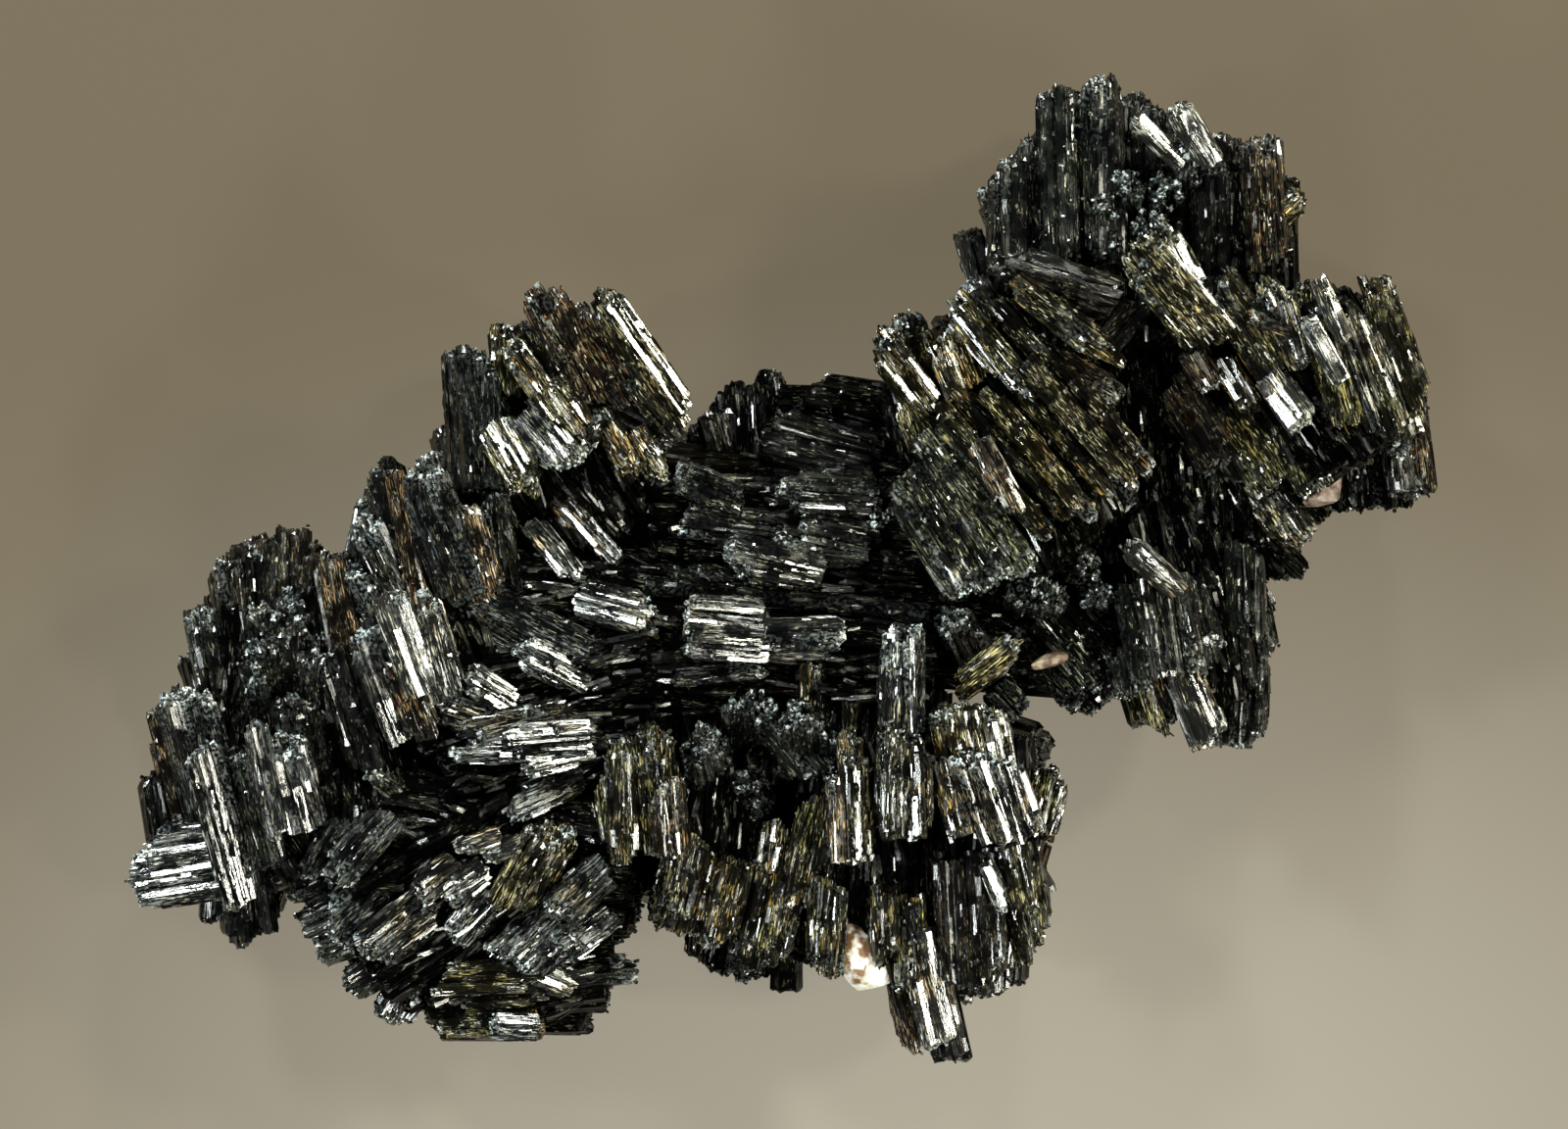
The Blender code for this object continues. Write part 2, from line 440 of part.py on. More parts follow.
def outer_shell(obj, collection, name):
    """The object as evaluated, without the closed gaps that the joined prisms leave inside."""
    graph = bpy.context.evaluated_depsgraph_get()
    mesh = bpy.data.meshes.new_from_object(obj.evaluated_get(graph))
    bm = bmesh.new()
    bm.from_mesh(mesh)
    bpy.data.meshes.remove(mesh)
    speck = 6 * (SPECK * MM) ** 3
    inner = [face for shell in shells(bm) if enclosed(shell) < speck for face in shell]
    bmesh.ops.delete(bm, geom=inner, context="FACES")
    return add_object(name, bm, collection)


def build():
    clear_scene()
    kept = new_collection("foitite_specimen")
    helpers = new_collection("helpers")
    sheaves = new_collection("sheaves")
    rng = random.Random(7)

    for i, row in enumerate(BLOCKS):
        block(f"block_{i}", row, helpers if i == 0 else sheaves)
    for number, lobe in enumerate(LOBES):
        for i, row in enumerate(lobe):
            sheaf(f"sheaf_{number}_{i}", row, row[6] >= STEP_MIN_WIDTH, rng, sheaves)
    for i, row in enumerate(UNDERSIDE + FEET):
        sheaf(f"under_{i}", row, False, rng, sheaves)

    body = helpers.objects["block_0"]
    boolean(body, "UNION", sheaves)
    boolean(body, "DIFFERENCE", floor_cutter(helpers))
    for name, (_, centre, half, turn) in GRAINS.items():
        boolean(body, "DIFFERENCE", grain(name + "_pocket", centre, half, turn, GRAIN_GAP, helpers))

    cluster = outer_shell(body, kept, "foitite_cluster")
    cluster.data.materials.append(material(*FOITITE))
    for name, (finish, centre, half, turn) in GRAINS.items():
        obj = grain(name, centre, half, turn, 0.0, kept)
        obj.data.materials.append(material(*finish))

    for helper in (*sheaves.objects, *helpers.objects):
        bpy.data.objects.remove(helper)


build()
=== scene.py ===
"""Looks of the foitite specimen: sheaves of striated prisms, the crust of splinters and crumbs on them, and three
light grains.

A sheaf is a bundle of grooved prisms grown side by side along one row of the tables. Lengths in the tables are in
millimetres, +X right, +Y up the cluster and +Z away from the surface that it lies on.
"""

from collections import namedtuple
from itertools import cycle

import bpy
import numpy as np
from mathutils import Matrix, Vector


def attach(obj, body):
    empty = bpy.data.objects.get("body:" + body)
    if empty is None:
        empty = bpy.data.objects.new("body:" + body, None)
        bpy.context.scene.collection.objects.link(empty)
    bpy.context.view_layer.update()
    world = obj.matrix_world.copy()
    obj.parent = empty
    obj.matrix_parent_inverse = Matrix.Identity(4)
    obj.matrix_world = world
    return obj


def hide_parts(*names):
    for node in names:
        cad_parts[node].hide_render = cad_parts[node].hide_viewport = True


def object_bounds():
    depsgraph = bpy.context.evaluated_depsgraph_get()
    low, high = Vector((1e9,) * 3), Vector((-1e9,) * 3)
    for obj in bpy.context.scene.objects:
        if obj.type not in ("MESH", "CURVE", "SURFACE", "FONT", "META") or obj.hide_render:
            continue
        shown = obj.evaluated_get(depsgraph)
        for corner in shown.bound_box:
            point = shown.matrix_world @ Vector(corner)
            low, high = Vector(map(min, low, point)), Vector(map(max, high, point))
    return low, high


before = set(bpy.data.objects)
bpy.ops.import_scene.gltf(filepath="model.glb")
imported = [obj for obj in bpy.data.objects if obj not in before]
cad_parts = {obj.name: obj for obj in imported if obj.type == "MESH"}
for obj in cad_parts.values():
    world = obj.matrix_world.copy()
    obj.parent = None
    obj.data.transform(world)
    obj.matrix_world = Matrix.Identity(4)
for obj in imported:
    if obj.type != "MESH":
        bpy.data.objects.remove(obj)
cad_low, cad_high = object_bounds()

# Driving sizes. The tables are written for a specimen of TABLE_LENGTH, and the parts read from model.glb say how
# long it is.
TABLE_LENGTH = 66.49
MM = (cad_high.x - cad_low.x) / TABLE_LENGTH
TABLE_CENTRE = np.array((0.14, -0.12, 0.0))  # the middle of the footprint, in the tables' numbers
SEED = 20

# Lamps: azimuth and elevation in degrees, distance and width in millimetres, power in watts, colour.
LAMPS = {
    "key_lamp": (132, 47, 420, 54, 1.36, (0.90, 0.98, 0.94)),
    "right_lamp": (24, 44, 420, 54, 1.24, (1.0, 0.99, 0.80)),
    "low_lamp": (-74, 42, 420, 50, 0.90, (1.0, 0.98, 0.84)),
    "left_lamp": (193, 40, 420, 50, 0.88, (0.92, 0.99, 0.96)),
    "far_lamp": (80, 42, 420, 50, 0.80, (0.97, 1.0, 0.92)),
    "near_lamp": (-22, 46, 420, 50, 0.72, (1.0, 0.99, 0.86)),
}
EYE = (0.14, 0.32, 456.0)  # where the camera stands
LENS, SENSOR, NEAR, FAR = 200.0, 36.0, 0.01, 10.0  # its own sizes in mm, and its nearest and farthest sight in m
ROOM_COLOUR, ROOM_STRENGTH = (0.9, 0.95, 1.0), 0.03

# Floor, in metres: half its side, how far it is under the specimen, and the shift, stretch and reach of its glow.
# Then its tones and its glow, in the middle and at the reach: a painted pool of light, brightest in the middle of
# the oval, whose glow also washes out the lamps' shadows.
FLOOR_REACH, FLOOR_DROP = 3.0, 5e-5
GLOW_SHIFT, GLOW_SCALE, GLOW_REACH = (-0.006, 0.034, 0.0), (0.6, 1.0, 1.0), 0.056
FLOOR_POOL_TONES = ((0.090, 0.083, 0.067), (0.037, 0.030, 0.020))
FLOOR_GLOW = ((0.31, 0.284, 0.230), (0.126, 0.103, 0.068))

# Rings and points of each rod, grids of a lump, rings of a core as shares of its length and half size.
PRISM_RINGS, PRISM_POINTS, CRUST_POINTS, CORE_POINTS = 4, 12, 5, 48
LUMP_AROUND, LUMP_DOWN = 60, 30
CORE_RINGS, CORE_SIZES, CORE_DENT = (0.04, 0.35, 0.9, 0.93), (0.72, 0.74, 0.74, 0.66), 0.07
PLANE_REACH = (0.66, 0.92)  # of a lump's broken faces from its middle, in half sizes
GRAIN_CORNERS = 40  # mm of ribbed pattern that the rods' corners are spread over

# How a sheaf is filled with prisms.
RIM = 0.9  # what the rim prisms' own width adds to a sheaf, in pitches
LAYER_GAP, STRAY = 0.87, 0.22  # between the grid's layers, and of a foot from the grid, in pitches
KNOT_AREA, BED_KNOT_AREA = 1.5, 4.0  # of a sheaf's section, in square mm, for each knot of prisms
OVAL_EDGE, SHELL_FROM = 1.02, 0.45  # of the squared oval that the feet stand in, and of a bed's shell
STEP_SHARE, LONGEST_STEP = 0.22, 1.5  # how far the tips step back, in sheaf lengths and at most in mm
FOOT_STEP, LEAST_SPAN = 0.7, 0.3  # share of that for the feet, and the shortest prism in mm
KNOT_LEAN, PRISM_LEAN, KNOT_TURN, PRISM_TURN = 0.022, 0.010, 0.11, 0.05  # spreads in radians
LEAST_SECTION, WELL_INSIDE, MIDDLE_PART = 2.0, 0.5, (0.12, 0.82)  # of a sheaf that hides what is inside it

# How it lies to the lamps: turns of its prisms about their length, and tips and swings of the whole sheaf.
TURNS = np.radians(np.arange(0, 60, 2.0))
TIPS, SWINGS = np.radians(np.arange(-10, 10.1, 2.0)), np.radians((-3.0, 0.0, 3.0))
TIPPING_COST = 0.05  # for each radian of tip or swing
LEAST_FACING = 0.2  # cosine between a face and the eye, under which the face doesn't count
GLEAM_CALM, GLARE_CALM = 0.4, 0.2  # share of the usual lean and turn that such a sheaf keeps

# Each prism, in mm: its bow, the shoulder under its tip, and how uneven its four rings are. GROOVE is the depth of
# the deepest groove as a share of the radius.
BOW, GLARE_BOW, SHOULDER, UNEVEN = 0.05, 0.015, (0.08, 0.30), (0.10, 0.05, 0.07, 0.16)
GROOVE = 0.16

# Crust: the share that such a sheaf has, the stout share of its splinters, and thickness and length in mm. The
# length of a splinter is the least one and a gamma draw of that shape and scale.
GLEAM_CRUST, BED_CRUST, BLOCK_CRUST = 0.6, 0.18, 1.0
STOUT_SHARE, BLOCK_STOUT = 0.22, 0.85
SPLINTER_THICK, STOUT_THICK, CRUMB_THICK, CRUMB_LONG = (0.04, 0.13), (0.11, 0.26), (0.05, 0.14), (0.12, 0.34)
SPLINTER_LEAST, SPLINTER_DRAW, STOUT_EXTRA, LONGEST_SPLINTER = 0.2, (1.6, 0.42), 0.4, 1.7

# These lobes take the shaded copy of the foitite, its reflection cut to a tenth: painted shade in the hollows.
SHADED = ("hollows", "blocks")
BEDS = ("underside", "feet", "blocks")  # lobes of stout sheaves, each a core in a shell of prisms
BED_PITCH = 0.95  # of the prisms in such a shell, in mm

# Looks: patches, warm parts, crumbly tips, clouds and stains, and heights of ribs and of a lump's roughness, all in
# mm, then colours, and how strongly light bends.
PATCH, BROAD, CRUMBLY, CLOUD, STAIN_SPOT = 1.2, 4.0, 0.20, 0.5, 1.3
RIB_HEIGHT, LUMP_HEIGHT = 0.011, 0.05
# The middle colour, PAINTED_GLINT_COLOUR, is a painted glint: the pale cream of flecks painted into the prisms.
WARM, PAINTED_GLINT_COLOUR, BRUISE = (1.0, 0.72, 0.46), (0.80, 0.77, 0.50), (0.80, 0.90, 0.90)
FOITITE_IOR, GRAIN_IOR = 1.64, 1.54

# Finishes: body colour, rib colour, roughness, prism pitch in mm, raggedness of the ends, paleness of the tips,
# share of painted glints (pale flecks painted into the colour), splinters on each square mm, crumbs at each tip,
# and crumbs on each square mm.
Finish = namedtuple("Finish", "body rib roughness pitch ragged pale fleck splinters tip_crumbs crumbs")
FINISHES = {
    # hollow is blacker than jet: painted shade on the blocks that fill the hollows between the sheaves.
    "hollow": Finish((0.0004, 0.0004, 0.0004), (0.002, 0.002, 0.0015), 0.16, 0.78, 0.8, 0.00, 0.04, 2.2, 0.8, 0.2),
    "shard": Finish((0.0005, 0.0006, 0.0005), (0.038, 0.044, 0.026), 0.18, 0.78, 0.8, 0.25, 0.20, 0.0, 0.0, 0.0),
    "ebony": Finish((0.0006, 0.0006, 0.0006), (0.004, 0.004, 0.004), 0.12, 2.60, 0.2, 0.00, 0.05, 0.0, 0.0, 0.0),
    "jet": Finish((0.0004, 0.0005, 0.0004), (0.008, 0.010, 0.007), 0.15, 0.66, 0.9, 0.06, 0.10, 2.6, 0.9, 0.3),
    "moss": Finish((0.0004, 0.0006, 0.0004), (0.020, 0.029, 0.018), 0.16, 0.52, 1.2, 0.30, 0.20, 3.4, 1.6, 1.2),
    "nubs": Finish((0.0004, 0.0006, 0.0005), (0.016, 0.023, 0.019), 0.16, 0.36, 2.2, 0.52, 0.16, 0.8, 0.8, 0.4),
    "umber": Finish((0.0010, 0.0007, 0.0004), (0.046, 0.035, 0.015), 0.16, 0.56, 1.1, 0.10, 0.22, 3.2, 1.0, 0.6),
    "olive": Finish((0.0014, 0.0013, 0.0004), (0.200, 0.172, 0.056), 0.13, 0.46, 1.3, 0.15, 0.50, 4.8, 1.4, 0.8),
    "honey": Finish((0.0030, 0.0025, 0.0009), (0.460, 0.385, 0.170), 0.11, 0.46, 1.2, 0.25, 0.60, 4.8, 1.4, 0.6),
    "bronze": Finish((0.0018, 0.0012, 0.0007), (0.290, 0.185, 0.090), 0.12, 0.50, 1.1, 0.25, 0.35, 3.8, 1.2, 0.4),
    "steel": Finish((0.0008, 0.0010, 0.0011), (0.180, 0.202, 0.205), 0.11, 0.52, 1.1, 0.50, 0.25, 3.8, 1.3, 0.5),
    # silver is painted sheen: its pale grey ribs make the sheaves that catch the lamps lighter in colour.
    "silver": Finish((0.0024, 0.0026, 0.0026), (0.560, 0.590, 0.570), 0.09, 0.54, 1.1, 0.55, 0.30, 3.6, 1.2, 0.3),
    # glare is a painted highlight: near white ribs on sheaves that are turned to throw the lamps' light upwards.
    "glare": Finish((0.0100, 0.0100, 0.0090), (0.880, 0.890, 0.840), 0.11, 0.85, 0.6, 0.20, 0.60, 1.2, 0.6, 0.1),
    "rime": Finish((0.0011, 0.0013, 0.0016), (0.165, 0.185, 0.200), 0.12, 0.62, 0.9, 1.00, 0.22, 3.0, 1.8, 0.3),
    "lichen": Finish((0.0012, 0.0015, 0.0007), (0.190, 0.196, 0.100), 0.13, 0.48, 0.9, 1.00, 0.45, 4.4, 2.6, 0.7),
}

Sheaf = namedtuple("Sheaf", "x y z tip_x tip_y tip_z width depth finish gleam", defaults=(1,))
Lie = namedtuple("Lie", "root way level up turn length")
Prisms = namedtuple("Prisms", "foot axis side over span radius spin tint exposed")
Rods = namedtuple("Rods", "place along radius tint pale finish")


def sheaves(*rows, finishes=("jet",), gleam=0):
    """The sheaves of a lobe. A row is root x, y, z, tip x, y, z, width across, depth, finish and gleam, which says
    how its faces lie to the lamps: 0 turned away, 1 as they grew, 2 turned to throw light upwards. A row without a
    gleam has 1. One without a finish takes the lobe's, which come in turn, and the lobe's gleam."""
    finish = cycle(finishes)
    return tuple(Sheaf(*row) if row[8:] else Sheaf(*row, next(finish), gleam) for row in rows)


SHEAVES = {}
SHEAVES["left_lobe"] = sheaves(
    (-27.1, -14.3, 12.5, -33, -15.3, 12, 4.2, 3.6, "silver", 2),
    (-27.2, -17.2, 13.6, -29.7, -7.8, 15, 2.2, 2.6, "silver", 2),
    (-28.6, -13.7, 11, -30.5, -6.1, 12.6, 3, 3, "rime", 2),
    (-31.5, -14, 9.5, -32.1, -10.3, 10, 1.6, 3),
    (-30.2, -13.2, 10, -31.6, -7.1, 11.3, 1.9, 2.6, "bronze"),
    (-29, -15, 8.6, -29.1, -18.1, 8, 1.5, 2.6),
    (-28, -15, 8.4, -27.8, -19.1, 7.6, 1.5, 3),
    (-27, -15, 8.4, -26.5, -18.6, 7.5, 1.4, 2.6),
    (-25.4, -13.7, 15.2, -26.6, -7.5, 16.6, 1.3, 2, "rime", 2),
    (-23.9, -13.1, 13.2, -25.2, -8.2, 15, 1.9, 2.4, "rime"),
    (-26.1, -15.4, 13, -27.7, -9.2, 14, 2.2, 2.8, "moss", 0),
    (-27.2, -8.4, 10.2, -28.6, 0.5, 9, 2.4, 4, "umber", 0),
    (-26.4, -8.2, 10.6, -27, 1.9, 9.6, 2.4, 4.6, "umber", 0),
    (-25.2, -8.2, 10.8, -25.4, 2.1, 9.8, 2.4, 4.6, "umber", 0),
    (-24.2, -8.2, 11, -23.9, 1.5, 10.2, 2.2, 4, "umber", 0),
    (-28.6, -7.4, 10.6, -29.6, -1.8, 10.6, 1.9, 3, "moss", 0),
    (-29.2, -8, 8.5, -30.2, -4.3, 8.5, 1.4, 2.5, "moss"),
    (-25, -11.2, 8.5, -25.8, -2.3, 14, 3.4, 3.4, "moss", 0),
    (-25, -12.2, 8.6, -26.9, -4.3, 14.4, 2, 2.2, "moss", 0),
    (-22.8, -12.2, 9, -23.6, -3.2, 14.2, 2.6, 2.6, "moss", 0),
    (-25, -8.2, 9, -25.1, -1.1, 12.8, 4, 2.6, "moss", 0),
    (-23.5, -13.2, 9.4, -24.7, -6.2, 14.6, 2.4, 2.4),
    (-21.4, -6.4, 13, -22.7, 0.8, 13.8, 2.3, 3, "bronze"),
    (-19.9, -4.2, 13.5, -21.5, 0.5, 14.6, 1.6, 2.4, "rime"),
    (-19.2, -8.7, 14.8, -21.5, -2.3, 16, 1.9, 2.4, "rime", 2),
    (-20.4, -10.4, 13, -22.4, -3.3, 14.2, 2.4, 3),
    (-18, -8.6, 15, -19.7, -3.9, 16, 1.9, 2.2, "bronze"),
    (-17.9, -6.4, 17.2, -19.7, -1.2, 18.4, 1.4, 2.4, "glare", 2),
    (-16.5, -6.8, 16.8, -18.3, -1.4, 18, 2, 2.6, "silver"),
    (-19.2, -11.1, 12.4, -21, -9.8, 13.8, 1.2, 1.6, "lichen", 0),
    (-18.6, -2.4, 13, -20.2, 5.6, 14.6, 1.9, 2.6, "jet"),
)
SHEAVES["middle_left"] = sheaves(
    (-18.1, -1.7, 14, -19.8, 5.8, 15.2, 1.4, 2.6, "bronze"),
    (-15.9, -1.7, 15, -18.3, 5.8, 16.2, 2.3, 3, "rime"),
    (-14.6, -1.4, 14.6, -16.3, 3.4, 15.6, 1.9, 2.6, "bronze"),
    (-14, -1.2, 12.5, -15.1, 5, 13, 1.8, 2.6, "moss"),
    (-21.7, -0.7, 12, -20.8, 4.4, 12.6, 1.2, 2.2, "rime"),
    (-19.4, -1.2, 14, -21.3, 2.7, 15, 1.8, 2.2, "rime", 2),
)
SHEAVES["upper_left"] = sheaves(
    (-14.9, 3.5, 12.5, -15.6, 11.3, 12, 3.4, 4, "moss", 0),
    (-15.6, 2.5, 11.5, -17.1, 7.4, 11, 1.6, 3),
    (-13.5, 7.8, 13, -14.1, 12.7, 12.5, 1.8, 3, "olive", 0),
    (-11.1, 7.7, 16.8, -13.8, 11.5, 17.2, 1.3, 1.8, "honey", 2),
    (-10.4, 7.4, 15.8, -11.9, 9.5, 17.4, 2, 2.6, "honey", 2),
    (-9.2, 8.5, 15.2, -12.3, 14.4, 16.6, 2.2, 3, "bronze"),
    (-7.4, 8.7, 14.6, -10.3, 13.4, 15.6, 2.2, 3, "bronze"),
    (-11.2, 8.8, 15, -13.1, 12.9, 14.5, 2, 3, "olive", 0),
    (-4.7, 7.4, 16.2, -9.4, 14.3, 18, 1.9, 2.6, "honey", 2),
    (-5, 6.8, 14.2, -8, 10.8, 15.8, 1.8, 2.6, "olive"),
    (-14.4, 7.2, 15.2, -12.5, 4.1, 17, 2.2, 2.6, "honey", 2),
    (-13, 8.3, 15.2, -10.4, 5.3, 16.4, 2.4, 2.8, "silver", 2),
    (-11, 8.8, 14.2, -9.4, 6.8, 15.8, 1.8, 2),
    (-9.3, 8, 14.5, -7.2, 4.4, 15.4, 1.5, 2, "honey"),
    (-7.5, 7.2, 14.8, -5.8, 4.6, 15.6, 1.2, 1.8, "honey", 2),
    (-12.9, 2.7, 12.5, -10.1, -0.9, 13.4, 1, 1.6, "silver", 2),
    (-11.5, 3.8, 12.2, -8.2, 0.2, 12.8, 1.2, 1.6, "bronze", 2),
    (-12, 9.8, 13, -5.5, 6.8, 13, 3.5, 4.4, "umber", 0),
)
SHEAVES["centre_back"] = sheaves(
    (-2.7, 4.8, 8.5, -3.9, 8, 8, 2.4, 4, "umber", 0),
    (5, 5.3, 10.5, -1, 6.8, 10.5, 3.4, 4),
    (-1.7, 3.4, 12.4, -5.4, 4.9, 12.8, 1.6, 2, "steel", 0),
    (5.2, 3.8, 12, -0.5, 4.2, 12.6, 2.4, 3, "moss", 0),
    (5, 1.3, 12, -0.2, 2.3, 13, 2.6, 3, "moss", 0),
    (2, -0.4, 13, -3.1, 0.8, 14, 2.4, 2.8, "steel"),
    (0, 2, 11, -5, 2.8, 11.6, 2.4, 3, "moss", 0),
    (4.6, 2.3, 8, 4.6, 2.8, 14, 1.6, 1.6, "nubs"),
    (9.2, -1.2, 9.5, 2.5, 0, 10.5, 3.6, 4, "moss", 0),
    (-2, -1.2, 12, -5.5, 0, 12.6, 2, 2.4, "moss"),
)
SHEAVES["centre_front"] = sheaves(
    (-10.5, -1.4, 13, -6.2, -2.4, 14, 2.3, 2.6, "silver", 2),
    (-0.5, -3.2, 15, -5.1, -2.9, 15.6, 3.4, 3, "silver", 2),
    (-1.7, -3.4, 15, 3.2, -3.4, 15, 2, 2.2, "rime"),
    (-5.9, -5.6, 14, -0.4, -5, 14.4, 0.8, 1.2, "steel"),
    (-3, -4.7, 12, -7.5, -4.9, 12.6, 2.6, 3),
    (3, -6.2, 12, -2, -5.7, 12.5, 1.8, 3, "umber", 0),
)
SHEAVES["centre_left"] = sheaves(
    (-9.7, -4.3, 13, -16.2, -1.1, 14, 2.2, 2.6, "steel"),
    (-12, -4.6, 12.4, -17.1, -1.9, 13, 1.5, 2.4, "steel"),
    (-9.7, -5.7, 13.6, -13.5, -3.8, 14.6, 1.8, 2.2, "silver", 2),
    (-13.4, -6.9, 14.2, -16.1, -5.2, 15, 1.4, 1.8, "silver", 2),
    (-13.7, -8.1, 13.6, -17.4, -6.8, 14.4, 1.9, 2.2, "silver", 2),
    (-10.6, -6.9, 14.6, -16.4, -8.2, 15.6, 1.3, 2, "silver"),
    (-9.4, -8, 15.2, -14.6, -8.4, 16.2, 1.1, 1.8, "silver", 2),
    (-9, -8.7, 15, -16.9, -9.3, 15.8, 1.2, 2, "steel"),
    (-8.8, -8.4, 14, -13.2, -7.2, 15, 1.4, 2, "steel"),
    (-9.4, -9.1, 15, -13.6, -10.2, 15.2, 1, 1.6, "silver", 2),
    (-10.2, -10.4, 13, -14.2, -12.3, 14, 2, 2.4, "steel", 2),
    (-13.5, -9.1, 10.6, -18.7, -10.3, 11, 1.5, 2.4, "moss", 0),
)
SHEAVES["lower_left"] = sheaves(
    (-21.9, -12.3, 12.5, -24.1, -15.9, 12.5, 1.8, 2.6, "steel"),
    (-19.5, -12.2, 15, -22.9, -15.7, 15.2, 1.9, 2.4, "steel"),
    (-16.2, -12.3, 12, -17.9, -14.3, 12.6, 1.3, 2, "moss"),
    (-14.1, -13.3, 15.4, -16.5, -14.1, 16, 0.9, 1.4, "silver", 2),
    (-12.9, -13.6, 15, -15, -14.6, 15.6, 0.8, 1.4, "silver", 2),
    (-13.7, -17.1, 13.4, -11.4, -13, 15.4, 2.6, 2.8, "honey"),
    (-8.7, -14.9, 14, -11.7, -17.6, 14.8, 2.2, 2.4, "steel"),
    (-8.7, -17.3, 12.6, -11.1, -19.3, 13.4, 1.7, 2.2, "steel"),
    (-16.4, -14.8, 14.4, -18.6, -16.5, 15, 1.5, 1.8, "silver", 2),
    (-14.9, -15, 14, -17, -16.4, 14.6, 1.5, 1.8, "silver", 2),
    (-17.6, -16.8, 13.4, -21.2, -19.6, 14.2, 2.6, 2.6, "silver", 2),
    (-19.5, -15.4, 12, -23, -18.4, 12.4, 3, 3, "steel"),
    (-14.6, -16.2, 13.4, -17.1, -18.9, 13.8, 2, 2.2, "steel"),
    (-11.2, -17.4, 12, -14.2, -20.4, 12.6, 3.4, 3, "steel"),
    (-11.7, -20.7, 12, -17.8, -20.9, 12, 2, 2.6, "honey"),
    (-12, -23, 10.4, -18.1, -22.9, 10.4, 2.1, 2.8, "olive"),
    (-12.7, -21.9, 11.4, -17.2, -21.8, 11.4, 1, 2, "olive"),
    (-12.2, -23.3, 11.6, -14.8, -23.2, 11.8, 1.5, 1.8, "steel", 2),
    (-12, -20.4, 10.6, -7.3, -20.4, 10.6, 1.7, 2.4, "steel"),
    (-10.5, -21.2, 11.6, -12.6, -20.4, 12.4, 1.6, 1.6, "silver", 2),
    (-20.2, -18.2, 9.4, -23.7, -19.3, 9, 2, 3, "moss", 0),
    (-19, -19.2, 9, -22.4, -21.3, 8.4, 2.2, 3, "moss", 0),
    (-18, -20.2, 9, -19.9, -22.9, 8, 2.6, 3, "moss"),
    (-21, -16.2, 10, -24.6, -17.8, 9.6, 2.4, 3, "moss"),
    (-18.5, -19.2, 10, -19.5, -21.4, 12, 2.4, 2.4, "moss"),
    (-22, -14.7, 10, -25.8, -16.3, 10, 2.2, 3, "moss", 0),
)
